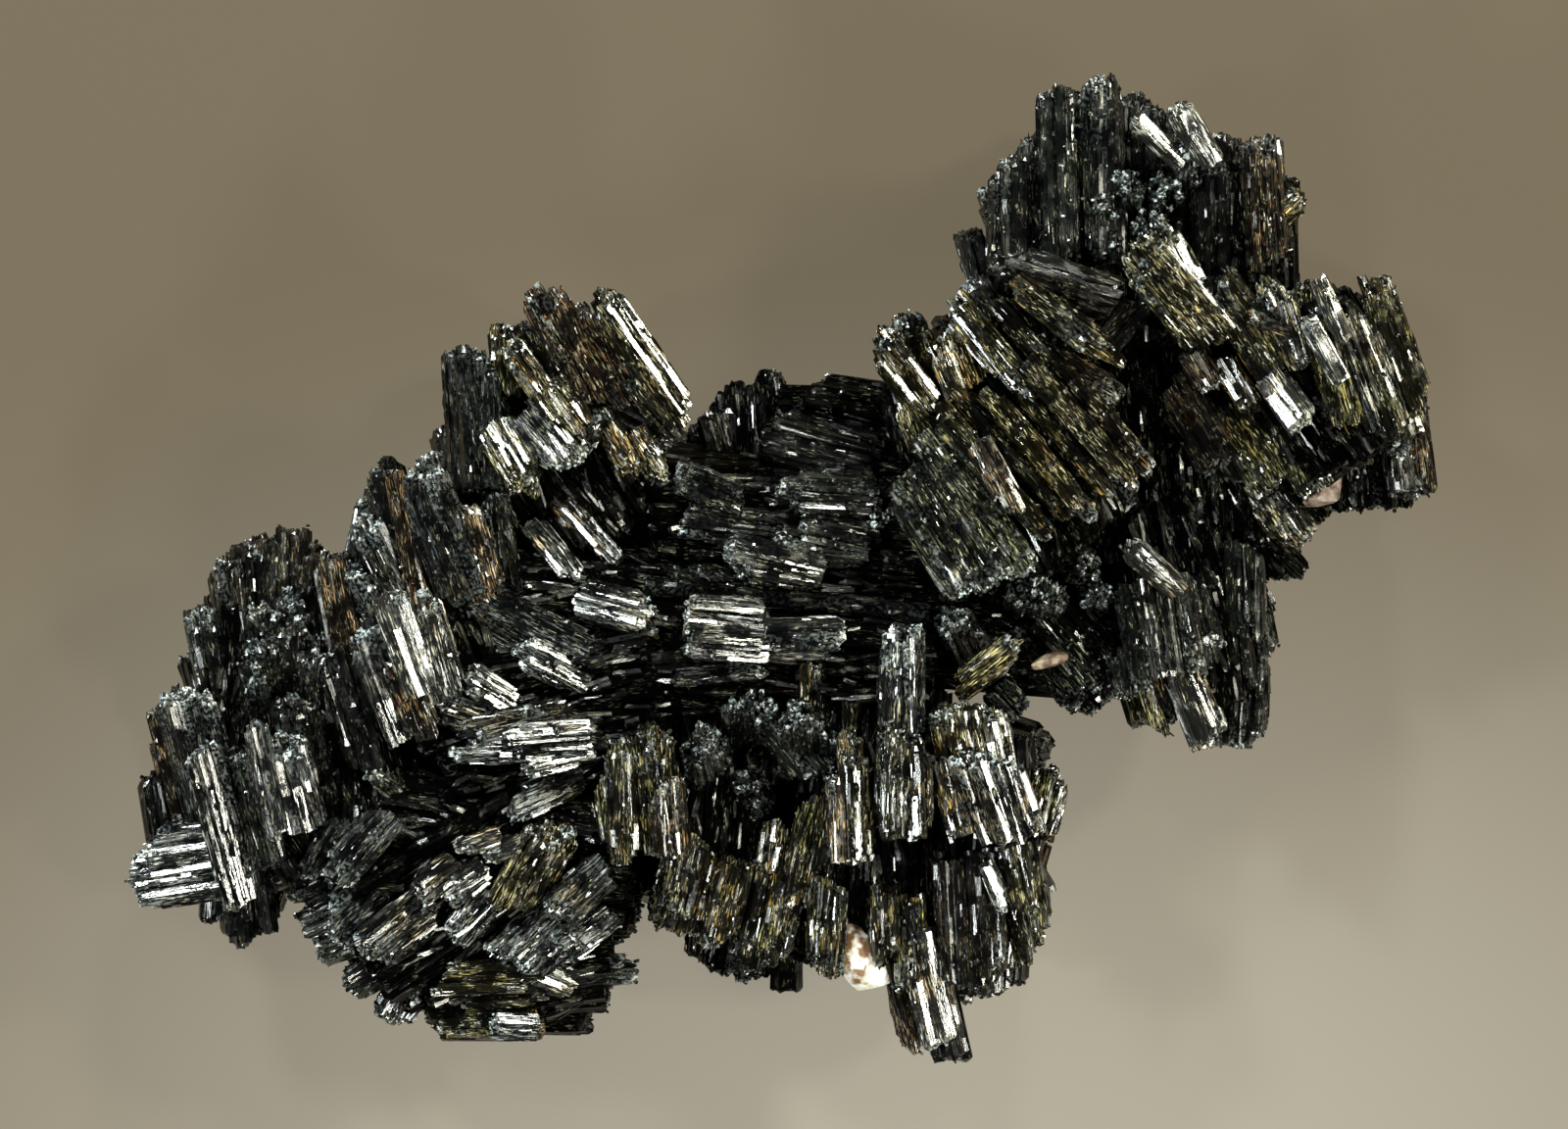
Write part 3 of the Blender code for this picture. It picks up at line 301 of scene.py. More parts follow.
SHEAVES["lower_middle"] = sheaves(
    (-8, -15.1, 15.6, -8.1, -7.4, 16.4, 1.5, 2.4, "olive"),
    (-6.2, -14.6, 14.8, -6.6, -7.9, 15.6, 2.5, 3, "olive"),
    (-5.4, -14.6, 16.4, -5.7, -10.5, 16.8, 1.9, 2, "bronze"),
    (-8.6, -14.2, 13.5, -9, -10.4, 13.5, 1.2, 2.4, "olive", 0),
    (-3.5, -10.7, 10, -4.1, -8.1, 16, 2.6, 1.8, "nubs"),
    (-1.5, -9.2, 10, -1.7, -6.3, 15.6, 3, 1.8, "nubs"),
    (1.5, -10.7, 11, 1.2, -7.1, 15.8, 3, 1.8, "nubs"),
    (-0.5, -13.2, 9, -1.9, -10.2, 15, 1.8, 1.6, "nubs"),
    (-0.5, -7.4, 13.5, 2.2, -10.7, 13.5, 2.4, 2, "moss", 0),
    (1.6, -8.4, 12.6, 1.4, -4.5, 13.4, 2, 2.6, "honey"),
    (3.6, -8.2, 13, 3.6, -5.4, 13.6, 0.9, 1.6, "honey"),
    (3.9, -15.1, 15.6, 3.6, -8.1, 16.6, 1.5, 2.8, "honey", 2),
    (2.9, -14.8, 16.4, 2.9, -9.6, 16.6, 0.9, 1.8, "bronze"),
    (5.7, -8.6, 16.8, 5.5, -2.8, 17.6, 1.1, 1.8, "silver"),
    (6.7, -8.7, 16.8, 6.6, -2.5, 17.6, 1, 1.6, "steel"),
    (5.5, -13.5, 17.6, 5.4, -8.2, 17.8, 1.2, 2.4, "olive"),
    (6.9, -13.6, 17.8, 6.8, -8.1, 18, 1.3, 2.6, "olive"),
    (10.1, -10.7, 16.2, 9.2, -6.6, 17.4, 3.9, 3.2, "honey", 2),
    (11.8, -13.9, 16.8, 10, -8.8, 18.2, 3.4, 3.2, "silver", 2),
    (9.2, -13.4, 17, 8, -9.2, 17.4, 1.6, 2.4, "honey", 2),
    (12.9, -13.7, 12.5, 13.8, -10, 12.5, 2.2, 3, "olive"),
    (12.2, -11.2, 11.6, 12, -8.1, 11.6, 0.9, 2),
    (12.5, -16.2, 11, 13.4, -13.2, 11, 1.2, 2.4, "bronze"),
    (9.2, -13.7, 13.4, 9.9, -20.8, 13, 3.2, 3.4, "umber", 0),
    (11.7, -13.7, 12.6, 13.1, -19.8, 12, 2.4, 3, "olive"),
    (10.3, -14.7, 15.4, 11.3, -17.1, 15.4, 0.8, 1.4, "silver", 2),
    (11.5, -13.4, 14.2, 12.2, -17.4, 14.2, 1.8, 2.2, "olive"),
    (10, -17.7, 8.6, 10.2, -22.2, 8, 3.6, 3.4, "jet"),
    (12, -17.2, 8.6, 11.7, -21.2, 8.4, 2, 3),
    (6.9, -17.8, 12.8, 8.3, -24.1, 12, 1.9, 2.2, "glare", 2),
    (7.3, -18.4, 11.2, 8.6, -25.4, 10.6, 2.2, 2.8, "jet"),
    (5.7, -19.2, 10.4, 6.7, -24.5, 10, 1.1, 2.4, "bronze"),
    (6.5, -16.4, 13, 6.7, -21.6, 12.8, 1.6, 2.2, "olive"),
    (-4.4, -13.4, 13.6, -5.5, -18.4, 13, 2.8, 3, "olive", 0),
    (-2.6, -14.6, 13, -3.6, -19.4, 12.4, 2.4, 3, "olive", 0),
    (0, -14.7, 12.8, -1.2, -20.1, 12, 3, 3, "olive", 0),
    (2.1, -10.7, 13, 0.4, -18.4, 13, 2, 2.6, "olive", 0),
    (2.4, -15.4, 14, 2.1, -20.5, 13.2, 2, 2.6, "olive", 0),
    (5.3, -15.7, 12.4, 5.4, -20.3, 12.3, 2.2, 3, "olive", 0),
    (-0.2, -12.9, 11.6, -0.7, -16.2, 13, 1.4, 2, "honey", 0),
    (-5.6, -15.2, 10.6, -6.3, -18.4, 10.4, 1.4, 2.6, "olive", 0),
    (6.2, -13.6, 16.8, 6.1, -8.1, 17.4, 2.4, 3, "olive"),
    (6.2, -8.7, 15.6, 6, -2.6, 17, 2.1, 2.6, "jet"),
)
SHEAVES["right_centre"] = sheaves(
    (8.1, 7.5, 16, 4.6, 11.9, 16.6, 2, 2.8, "olive", 2),
    (9.5, 8.8, 16, 8.2, 12.3, 16.4, 2.4, 2.8, "honey", 2),
    (7.5, 9.3, 13.4, 6.3, 13.2, 13.4, 1.8, 2.6, "olive"),
    (17.5, 13.5, 16.6, 10.5, 15.8, 16.6, 2.1, 2.8, "umber"),
    (11.4, 14.8, 17.6, 17.3, 10.3, 18, 1.5, 2.4, "olive"),
    (13.5, 10.8, 15.6, 17, 8.7, 16, 1.8, 2.6, "bronze", 0),
    (13.5, 10.9, 17, 18.5, 5.1, 17.7, 1.1, 2.2, "bronze"),
    (12.2, 10.5, 18.1, 18, 3.8, 18.8, 1.2, 2.2, "honey"),
    (10.9, 10.5, 16.8, 16.8, 3.5, 17.3, 1, 2.2, "olive"),
    (10.2, 9.2, 18, 16, 2.2, 18.5, 1, 2.2, "honey"),
    (8.4, 9.6, 16.6, 14.6, 2.7, 17.1, 1.1, 2.2, "olive"),
    (7.7, 8.3, 17.6, 13.7, 1.4, 18.2, 1.3, 2.2, "olive"),
    (6.8, 6.7, 16.3, 12, -0.3, 16.9, 2.3, 2.8, "lichen", 0),
    (6, 4.9, 16.2, 9.9, -1.1, 16.7, 2.8, 2.8, "lichen"),
    (9.7, 6.9, 18.4, 11.9, 2.8, 18.7, 1.3, 1.4, "bronze"),
    (6.2, 9, 15, 7.7, 5.2, 15.4, 1.6, 2.4, "honey"),
    (8.4, 13.8, 17, 12.9, 8.4, 17.9, 1.6, 2.4, "olive"),
    (10.1, 14.5, 16.2, 14.3, 9.4, 17, 1.1, 2.4, "olive"),
    (10.5, 12.3, 14.6, 9.2, 14.5, 14.6, 2.4, 3, "moss", 0),
    (18.4, 13.8, 15, 16.4, 11.4, 14.8, 1.6, 1.6, "umber", 0),
)
SHEAVES["top_right"] = sheaves(
    (11.8, 14.5, 12.6, 11.8, 21.3, 12.6, 2.6, 4, "moss", 0),
    (14.2, 15.5, 13.4, 14.1, 24.3, 13, 2.4, 4, "moss"),
    (16.4, 15.5, 13.6, 16, 25.1, 13.4, 2.5, 4, "moss", 0),
    (18.4, 17.8, 11.6, 18.3, 24.1, 11.4, 2.8, 4),
    (13.1, 15, 12.2, 13, 22.6, 12.2, 2, 3.4, "moss", 0),
    (15.4, 15.5, 12.8, 15.2, 24.5, 12.6, 1.6, 3.4, "moss", 0),
    (17.5, 16.5, 12.2, 17.4, 24.6, 12, 1.8, 3.4, "moss", 0),
    (20.2, 18.8, 11.4, 20, 23.2, 11.4, 1.8, 3.6),
    (20.2, 20.5, 16.2, 17.6, 23, 17, 1, 1.6, "glare", 2),
    (21.8, 20.5, 16.4, 19.7, 23.7, 17.2, 1.5, 1.8, "glare", 2),
    (17.5, 17.3, 9, 17.2, 19.8, 16.4, 2.4, 2.2, "nubs"),
    (19.7, 17.3, 9, 19.5, 19.5, 16, 2, 2, "nubs", 0),
    (20.6, 18, 9, 20.7, 21.2, 16.2, 1.8, 1.8, "nubs", 0),
    (16, 16.8, 10, 16.1, 18.5, 16, 1.8, 1.8, "nubs"),
    (18.5, 15.3, 9, 18.4, 17.7, 15.4, 2, 2, "nubs", 0),
    (17, 15.3, 10, 16.9, 17, 15.4, 1.8, 1.8, "nubs"),
    (22, 13.8, 12.6, 21.9, 20.7, 13, 2.6, 4),
    (24.5, 15, 13.4, 24.2, 22.3, 13.4, 2.4, 4, "bronze"),
    (24.2, 17.3, 12.6, 26.5, 19.2, 12.8, 1.4, 2, "honey"),
    (24, 16.5, 12, 26, 16.7, 12, 2, 2.6),
    (23.1, 17.8, 11.6, 22.8, 22.1, 11.4, 1.8, 3.4, "umber"),
    (10.6, 13.8, 11, 9.5, 17.5, 10.8, 1.7, 3),
    (26, 12.8, 10.5, 24.5, 15.7, 10.5, 1.6, 3, "umber", 0),
)
SHEAVES["right_lobe"] = sheaves(
    (22, 11.3, 17.4, 17.6, 16.4, 18.2, 2.8, 3, "honey"),
    (21.2, 13.8, 16.6, 19, 17.5, 17.2, 1.4, 2.4, "olive", 2),
    (25.2, 10, 15.8, 21.9, 14.7, 16.2, 2.2, 2.8, "olive"),
    (26.5, 10.3, 16.6, 24.1, 14.6, 17, 1.6, 2.4, "honey", 2),
    (26.4, 10.4, 18, 25.3, 13.9, 18, 0.8, 1.4, "honey", 2),
    (28.2, 9.4, 18.4, 26.3, 12.8, 18.8, 0.9, 1.6, "glare", 2),
    (28.5, 11.4, 17.6, 27, 14.7, 17.9, 0.9, 1.6, "glare", 2),
    (25.7, 12, 17.8, 23.4, 13.1, 18, 0.7, 1, "bronze"),
    (22.2, 10.9, 14.6, 23.8, 8.2, 15, 1.3, 2, "honey", 2),
    (20.7, 11.3, 14.6, 22, 9.3, 14.4, 1.4, 2.4, "bronze"),
    (24.7, 9.8, 16.4, 26.4, 7.4, 17, 1.9, 2.6, "glare", 2),
    (32.6, 7.3, 14.6, 29.6, 15.2, 15, 1.9, 3.4, "olive"),
    (31.2, 6.5, 15, 28.4, 13.7, 15.4, 2.8, 3.4, "olive"),
    (29.2, 6.8, 14.6, 27.2, 13.3, 15, 2.4, 3.4, "olive", 0),
    (32, 9.5, 11.4, 32.7, 3.5, 11, 1.3, 3.6, "bronze"),
    (31.5, 8.8, 13, 30.9, 6.3, 15, 2, 2, "moss"),
    (31.7, 6.8, 11.6, 32.1, 3.4, 11.6, 1.6, 3, "umber"),
    (19.7, 10, 11, 23.1, 4.2, 11.6, 2.6, 3.4, "umber"),
    (22.2, 9.3, 12.4, 25.5, 4.3, 12.6, 2.6, 3, "olive", 0),
    (25, 8.3, 13.4, 27.5, 4.2, 13.2, 2.6, 3, "olive"),
    (27.2, 8.8, 13.4, 29.2, 5.3, 13, 2.2, 3, "olive", 0),
    (26.7, 11.8, 13, 26.6, 14.6, 13, 1.5, 2.6, "honey"),
)
SHEAVES["lower_right"] = sheaves(
    (24.2, 4.8, 11, 26.5, 1.4, 11.4, 2.2, 3, "honey"),
    (23.3, 1.8, 10.6, 23.6, -4.2, 10.2, 2.6, 3.4, "moss", 0),
    (22.9, -2.4, 10.6, 23.5, -7.2, 10, 1.9, 3, "moss"),
    (23.7, -4.6, 9.4, 23.6, -9.1, 9.2, 2.4, 3.4, "moss", 0),
    (24.2, -1.6, 9.4, 24.7, -4.4, 9.2, 1.4, 3.2, "moss", 0),
    (24.2, -4, 8.8, 24.5, -7.7, 8.8, 1.3, 3.2, "moss"),
    (19, 0, 12.4, 20.2, -5.9, 12.6, 4.4, 4, "moss", 0),
    (21.2, -0.7, 10, 21.9, -4.4, 13.4, 2, 2, "moss"),
    (20.2, -4.4, 13, 22, -8.9, 12.6, 2.2, 2.6, "glare", 2),
    (18.6, -4.7, 11.6, 19.8, -8.3, 11.2, 1.6, 2.4, "honey", 2),
    (20.2, -1, 14.6, 17.5, 1.3, 16, 1.3, 1.8, "glare", 2),
    (15.2, -0.2, 9, 15.4, 0.8, 14.4, 2.2, 1.8, "nubs"),
    (16, -1.7, 9, 16.2, -0.9, 14, 1.8, 1.6, "nubs"),
    (13, -2.2, 9, 13.1, -0.8, 14.4, 3.4, 1.6, "nubs"),
    (8.7, -6.2, 14, 12.4, -3.3, 14.6, 1.5, 2.2, "honey"),
    (10, -5.2, 10, 8.7, -2.2, 13.6, 2.2, 2, "nubs"),
    (17.5, -3.7, 10, 18, -6.4, 9.6, 2.8, 3, "moss", 0),
)
SHEAVES["hollows"] = sheaves(
    (-1.2, 4.8, 8.5, -1.7, 9.4, 7, 4, 4.5),
    (-0.5, 6.8, 7.5, -0.9, 10.2, 7, 1.8, 2.5),
    (7.2, 7.4, 8.8, 0.3, 8.4, 9, 3.8, 4),
    (-9.5, 6.8, 8.5, -5.5, -0.4, 8.5, 4.4, 5),
    (-14.7, 3.3, 10, -11.7, -1.2, 10.5, 3.2, 4),
    (-5, -3.2, 10.5, -9.5, -4.2, 10.5, 3.6, 4),
    (-7, -6.2, 11, -12, -6.9, 12, 3, 4),
    (-14, -11.2, 9, -19, -12.2, 9.5, 3, 4),
    (-10.7, -17.4, 7.6, -7.2, -18.1, 7.4, 3.2, 3),
    (9, 9.8, 13, 15.6, 3, 13.5, 6, 5),
    (30, 8.8, 11.5, 27, 13.4, 11.5, 5, 4),
    (29.7, 7.8, 9.6, 30, 3.2, 9, 4.6, 4),
    (25.2, 4.8, 9.4, 27.9, 2.7, 9.2, 1.9, 3),
    (23.7, 2.5, 8.6, 26.6, -0.6, 8, 1.9, 2.2),
    (23.1, 0.8, 9.6, 24.9, -3.3, 9.2, 1.5, 3),
    (13.7, -4.2, 9, 16.1, -7.5, 8.4, 2, 3, "moss", 0),
    (10.7, -5.7, 9, 12.1, -7.3, 8.6, 1.8, 3, "moss", 0),
    (13, -1.7, 9.6, 16.5, -5.7, 9.4, 4, 4, "moss", 0),
    (18.5, 9.8, 6.5, 23, -1.2, 6.5, 5.6, 5),
    (8, -14.2, 12, 8.2, -19.2, 12, 1.8, 3),
    (-2.2, -17.2, 8.6, -2.7, -20.8, 8, 4.6, 3.4),
    (0.1, -18, 8.8, 0.1, -21.6, 8.4, 1.45, 1.6, "ebony", 0),
    (1, -14, 9.2, 1, -20, 8.8, 2.8, 3.4),
    (-23.5, -15.2, 11, -26.9, -10.6, 11.5, 4, 4),
    (-12, -21.8, 9.4, -8.4, -21.8, 9.4, 1.6, 2.4, "jet"),
    (-13.2, -23.1, 8.4, -9.7, -23.1, 8.4, 1.3, 2.2),
)
SHEAVES["underside"] = sheaves(
    (-27, -12, 5, -31.8, -13.5, 6.5, 5, 4.2),
    (-25, -6, 5, -25.5, 0.2, 6.5, 5, 4),
    (-27, -13, 4.8, -28.5, -17.5, 6, 4.5, 4),
    (-20, -4, 4.8, -20.8, 2, 6.5, 4.6, 4),
    (-17, -1, 5, -17.5, 4.8, 7, 4.4, 4),
    (-19, -16, 4.8, -23.4, -18.6, 6.2, 5, 4.2),
    (-16, -18, 4.6, -18.5, -22.4, 6, 5, 4.2),
    (-12, -18, 4.6, -11.5, -22.6, 6, 5, 4.2),
    (-11, -14, 4.6, -7.8, -17.4, 6, 4.6, 4),
    (-12, 3, 5, -15.8, 8.5, 7, 5, 4.4),
    (-11, 6, 5.2, -12.2, 12.6, 7.5, 4.6, 4.4),
    (-9, 5, 5.2, -6.2, 9.8, 7.2, 4.6, 4.4),
    (-6, 2, 4.6, -4.2, 7, 6, 4.6, 4),
    (-1, 3, 4.6, -0.5, 9.2, 6, 4.8, 4),
    (4, 4, 4.8, 4.2, 9.4, 6.2, 4.8, 4),
    (-4, -12, 4.6, -5.8, -17.8, 6, 5, 4),
    (4.5, -13, 4.6, 4.2, -20, 6, 5, 4),
    (8, -14, 4.6, 8.2, -21.5, 5.8, 4.6, 4),
    (10, -12, 4.8, 12, -18.5, 6, 4.6, 4),
    (9, -9, 4.6, 13.2, -10.5, 6, 5, 4),
    (9, 3, 4.8, 5.8, 8.5, 6.4, 5, 4.2),
    (11, 8, 5, 9, 13, 7, 5, 4.2),
    (14, 16, 5, 12.2, 20.5, 7, 5, 4.4),
    (16, 17, 5, 16.2, 23.6, 7, 5, 4.4),
    (19, 17, 5, 19.8, 22.8, 7, 5, 4.4),
    (22, 14, 5, 24, 20, 7, 4.8, 4.4),
    (26, 9, 5, 27.5, 13.2, 6.6, 5, 4.2),
    (28, 9, 4.8, 31.5, 8.6, 6.4, 5, 4.2),
    (27, 8, 4.6, 30.8, 4.6, 6.2, 5, 4.2),
    (20, 2, 4.6, 23.2, -3.5, 6, 5, 4),
    (19, -2, 4.4, 20.5, -7.8, 5.6, 5, 4),
    (16, -1, 4.4, 15, -5.5, 5.4, 5, 4),
    finishes=("umber", "jet", "olive", "moss"),
    gleam=1,
)
SHEAVES["feet"] = sheaves(
    (-23, -10.5, 2.8, -28.5, -9, 2.8, 4.4, 7),
    (-12.5, -14.5, 2.8, -17.5, -18.5, 2.8, 4.6, 7),
    (-8.5, 4.5, 2.8, -13, 8.5, 2.8, 4.4, 7),
    (7, -11, 2.8, 7.5, -17, 2.8, 4.8, 7),
    (18, 1, 2.8, 19.5, -5, 2.8, 4.2, 7),
    (24, 8, 2.8, 29, 9.5, 2.8, 4.6, 7),
    (12.5, 10.5, 2.8, 15.5, 15.5, 2.8, 4.2, 7),
    (-1, -1.5, 3.4, 4.5, 1.5, 3.4, 4.6, 8.4),
)
SHEAVES["blocks"] = sheaves(
    (-26.6, -14.6, 8.6, -26.4, -1.6, 8.2, 7.2, 7.2),
    (-20.8, -14.2, 9, -22.4, -0.6, 9.4, 7.4, 7.6),
    (-16, -5, 10.4, -18.6, 4, 10.8, 6, 8),
    (-11, -12.5, 9.8, -21.5, -19.2, 9.2, 9, 9),
    (-8.4, -19.4, 9, -18.6, -20.4, 9, 5.6, 7),
    (-7, -14.5, 9.6, -20.5, -13, 9.6, 8, 8),
    (-6, -6, 10.4, -18.5, -9.2, 10.6, 9, 8.6),
    (-8.8, 1.8, 7.8, -13.8, 10.6, 9.6, 8, 8.8),
    (-5, -2, 9.6, -17.5, -1, 9.8, 6, 7.6),
    (9, 2.2, 9.2, -7, 3.2, 9.4, 7, 6.6),
    (8, -4.4, 10, -7.5, -3.4, 10, 8, 8.6),
    (7, 6.4, 7.8, -1.6, 6.4, 7.6, 5.6, 5.4),
    (-2.8, -6.6, 8.6, -3.6, -17, 8.2, 8, 7.6),
    (4.6, -5.6, 9.4, 4.2, -18, 8.6, 8, 8.6),
    (9.8, -8, 9.6, 10.8, -18, 8.8, 6, 8.8),
    (8.6, 11.4, 10.2, 14.4, 0, 10.4, 9.4, 10),
    (16.8, 11, 10, 16.6, 21, 10.2, 12, 8.4),
    (23.4, 12, 10, 23.6, 20.4, 10.4, 5.2, 7.6),
    (24.4, 12.4, 10.2, 30, 5, 10.4, 8.6, 10.4),
    (19, 13.5, 8.6, 20.8, 0.8, 8.2, 9.4, 7.6),
    (19.6, 4, 8.8, 21.8, -7.2, 8.6, 6.4, 7.6),
    (6.2, -2.2, 7.6, 17.5, -3.4, 7.4, 6.6, 6),
    finishes=("hollow",),
)

# Light grains: centre x, y, z and half sizes x, y, z in mm, turn about Z in degrees, broken faces, slot and finish.
GRAINS = {
    "feldspar_grain": ((3.8, -19.9, 12.5), (2.0, 1.35, 1.05), -50, 17, "feldspar", "stained_feldspar"),
    "mica_flake": ((13.8, -4.5, 12.1), (1.05, 0.42, 0.6), 8, 30, "mica", "pearly_mica"),
    "quartz_grain": ((27.6, 3.9, 12.6), (1.1, 0.7, 0.8), 20, 24, "quartz", "dull_quartz"),
}
# Their finishes: light tone, dark tone, stain, the share that is clean of it, roughness, and how see-through.
GRAIN_FINISHES = {
    "stained_feldspar": ((0.90, 0.91, 0.89), (0.62, 0.58, 0.48), (0.17, 0.085, 0.032), 0.43, 0.35, 0.3),
    "pearly_mica": ((0.22, 0.15, 0.105), (0.045, 0.026, 0.018), (0.50, 0.42, 0.32), 0.50, 0.4, 0.1),
    "dull_quartz": ((0.34, 0.26, 0.22), (0.10, 0.066, 0.052), (0.12, 0.068, 0.040), 0.50, 0.4, 0.2),
}


def unit(v):
    """Vectors divided by their own lengths."""
    return v / np.linalg.norm(v, axis=-1, keepdims=True)


def aim(azimuth, elevation):
    """The unit vector at azimuth a and elevation e, in degrees: cos a cos e, sin a cos e, sin e."""
    a, e = np.radians(azimuth), np.radians(elevation)
    return np.array((np.cos(a) * np.cos(e), np.sin(a) * np.cos(e), np.sin(e)))


LAMP_AIMS = np.array([aim(lamp[0], lamp[1]) for lamp in LAMPS.values()])


def lie_of(row):
    """How a sheaf lies: root, way along, level across, up, the turn of its prisms about their length, and its
    length. The sight line from the eye is mirrored in each of the six faces of a prism, and a lie is scored by
    how near a mirrored line comes to a lamp. Gleam 2 searches TURNS, TIPS and SWINGS for the best lie, gleam 0
    takes the worst turn untipped, and gleam 1 takes any."""
    root, tip = np.array(row[0:3]), np.array(row[3:6])
    middle, length = (root + tip) / 2, np.linalg.norm(tip - root)
    way = unit(tip - root)
    level = unit(np.cross((0, 0, 1.0), way))
    up = np.cross(way, level)
    sight = unit(np.array(EYE) - middle)
    faces = TURNS[:, None] + np.radians(30 + 60 * np.arange(6))
    tips, swings = (TIPS, SWINGS) if row.gleam == 2 else ((0.0,), (0.0,))
    any_turn = int(abs(row.x * 7 + row.y * 3) * 10) % len(TURNS)
    best = None
    for tilt in tips:
        for swing in swings:
            w = unit(way + np.tan(tilt) * up + np.tan(swing) * level)
            across = unit(np.cross((0, 0, 1.0), w))
            over = np.cross(w, across)
            normals = np.cos(faces)[..., None] * across + np.sin(faces)[..., None] * over
            facing = normals @ sight
            near = ((2 * facing[..., None] * normals - sight) @ LAMP_AIMS.T).max(-1)
            score = np.where(facing > LEAST_FACING, near, -1.0).max(-1)
            pick = {2: score.argmax(), 0: score.argmin(), 1: any_turn}[row.gleam]
            worth = score[pick] - TIPPING_COST * abs(tilt) - TIPPING_COST * abs(swing)
            if best is None or worth > best[0]:
                best = (worth, w, across, over, TURNS[pick])
    _, way, level, up, turn = best
    return Lie(middle - way * length / 2, way, level, up, turn, length)


def prisms_of(row, rng):
    """The prisms of one sheaf. Feet stand on a triangular grid inside a squared oval, |2u|^3 + |2v|^3 < 1 for u
    across and v up in shares of the sheaf, and in a bed only near its rim. Each belongs to the nearest of a few
    knots, and a knot's prisms start, end, lean and turn together. The ends step back, more to one edge than to
    the other, and a prism that is inside other sheaves is left out."""
    root, way, level, up, turn, length = LIES[row]
    finish, bed = FINISHES[row.finish], row in STOUT
    pitch = BED_PITCH if bed else finish.pitch
    width, depth = max(0.1, row.width - RIM * pitch), max(0.1, row.depth - RIM * pitch)
    across = 1 + round(width / pitch)
    layers = 1 + round(depth / (LAYER_GAP * pitch))
    u, v = np.meshgrid((np.arange(across) + 0.5) / across - 0.5, (np.arange(layers) + 0.5) / layers - 0.5)
    u = u + np.where(np.arange(layers) % 2, 0.25, -0.25)[:, None] / across
    oval = np.abs(2 * u) ** 3 + np.abs(2 * v) ** 3
    keep = (oval < OVAL_EDGE) & (oval > SHELL_FROM * bed)
    exposed = ((v > 0.14) | (np.abs(u) > 0.36) | bed)[keep]
    n = keep.sum()
    u = u[keep] * width + rng.uniform(-STRAY, STRAY, n) * min(pitch, width)
    v = v[keep] * depth + rng.uniform(-STRAY, STRAY, n) * min(pitch, depth)
    knots = 2 + round(width * depth / (BED_KNOT_AREA if bed else KNOT_AREA))
    knot_u, knot_v = rng.uniform(-0.5, 0.5, knots) * width, rng.uniform(-0.5, 0.5, knots) * depth
    knot = ((u[:, None] - knot_u) ** 2 + (v[:, None] - knot_v) ** 2).argmin(1)
    step = finish.ragged * min(STEP_SHARE * length, LONGEST_STEP)
    fore = FOOT_STEP * step * (0.7 * rng.random(knots)[knot] ** 1.6 + 0.3 * rng.random(n))
    back = step * (0.8 * rng.random(knots)[knot] ** 1.6 + 0.3 * rng.random(n))
    out = rng.uniform(-0.10, 0.25, knots)[knot] * pitch
    edge = np.clip(2 * u / width, -1, 1)
    skew = rng.uniform(-1, 1, 2)
    back = back - 0.15 * step + step * (0.2 * rng.random() * edge**2 + np.maximum(skew[0] * edge, 0))
    fore = fore + FOOT_STEP * step * np.maximum(skew[1] * edge, 0)
    size = np.hypot(u, v) + 1e-6
    u, v = u + out * u / size, v + out * v / size
    calm = GLARE_CALM if row.finish == "glare" else GLEAM_CALM if row.gleam == 2 else 1.0
    lean = calm * (rng.normal(0, KNOT_LEAN, (knots, 2))[knot] + rng.normal(0, PRISM_LEAN, (n, 2)))
    axis = unit(way + lean[:, :1] * level + lean[:, 1:] * up)
    side = unit(level - (axis @ level)[:, None] * axis)
    over = np.cross(axis, side)
    foot = root + u[:, None] * level + v[:, None] * up + (way - axis) * length / 2 + axis * fore[:, None]
    spin = turn + calm * (rng.normal(0, KNOT_TURN, knots)[knot] + rng.normal(0, PRISM_TURN, n))
    tint = rng.uniform(0.2, 1.6, knots)[knot] * rng.uniform(0.65, 1.4, n)
    radius = np.minimum(pitch * rng.uniform(0.50, 0.80, n), 0.6 * row.width)
    span = np.maximum(length - fore - back, LEAST_SPAN)
    low, high, top = (inside_another(foot + share * span[:, None] * axis, row) for share in (0.1, 0.55, 1.0))
    seen = np.where(exposed, ~(low & high & top), ~top) | (n == 1)
    found = Prisms(foot, axis, side, over, span, radius, spin, tint, exposed | (n < 4))
    return Prisms(*(values[seen] for values in found))


def carried(foot, axis, side, over, along, size, angle):
    """Profiles carried along straight paths: foot + along * axis + size * (cos(angle) * side + sin(angle) * over),
    for n paths, some rings on each and some points on each ring."""
    place = foot[:, None, None, :] + along[..., None] * axis[:, None, None, :]
    place = place + (size * np.cos(angle))[..., None] * side[:, None, None, :]
    return place + (size * np.sin(angle))[..., None] * over[:, None, None, :]


def paleness(finish, n, rng):
    """How pale n tips are: a random share to the power of one over the finish's paleness, times a half more than
    the paleness. So a little paleness is a few bright tips and not a veil over all of them."""
    pale = FINISHES[finish].pale
    return np.minimum(min(1.3, 0.5 + pale) * rng.random(n) ** (1 / (pale + 0.02)), 1.0)


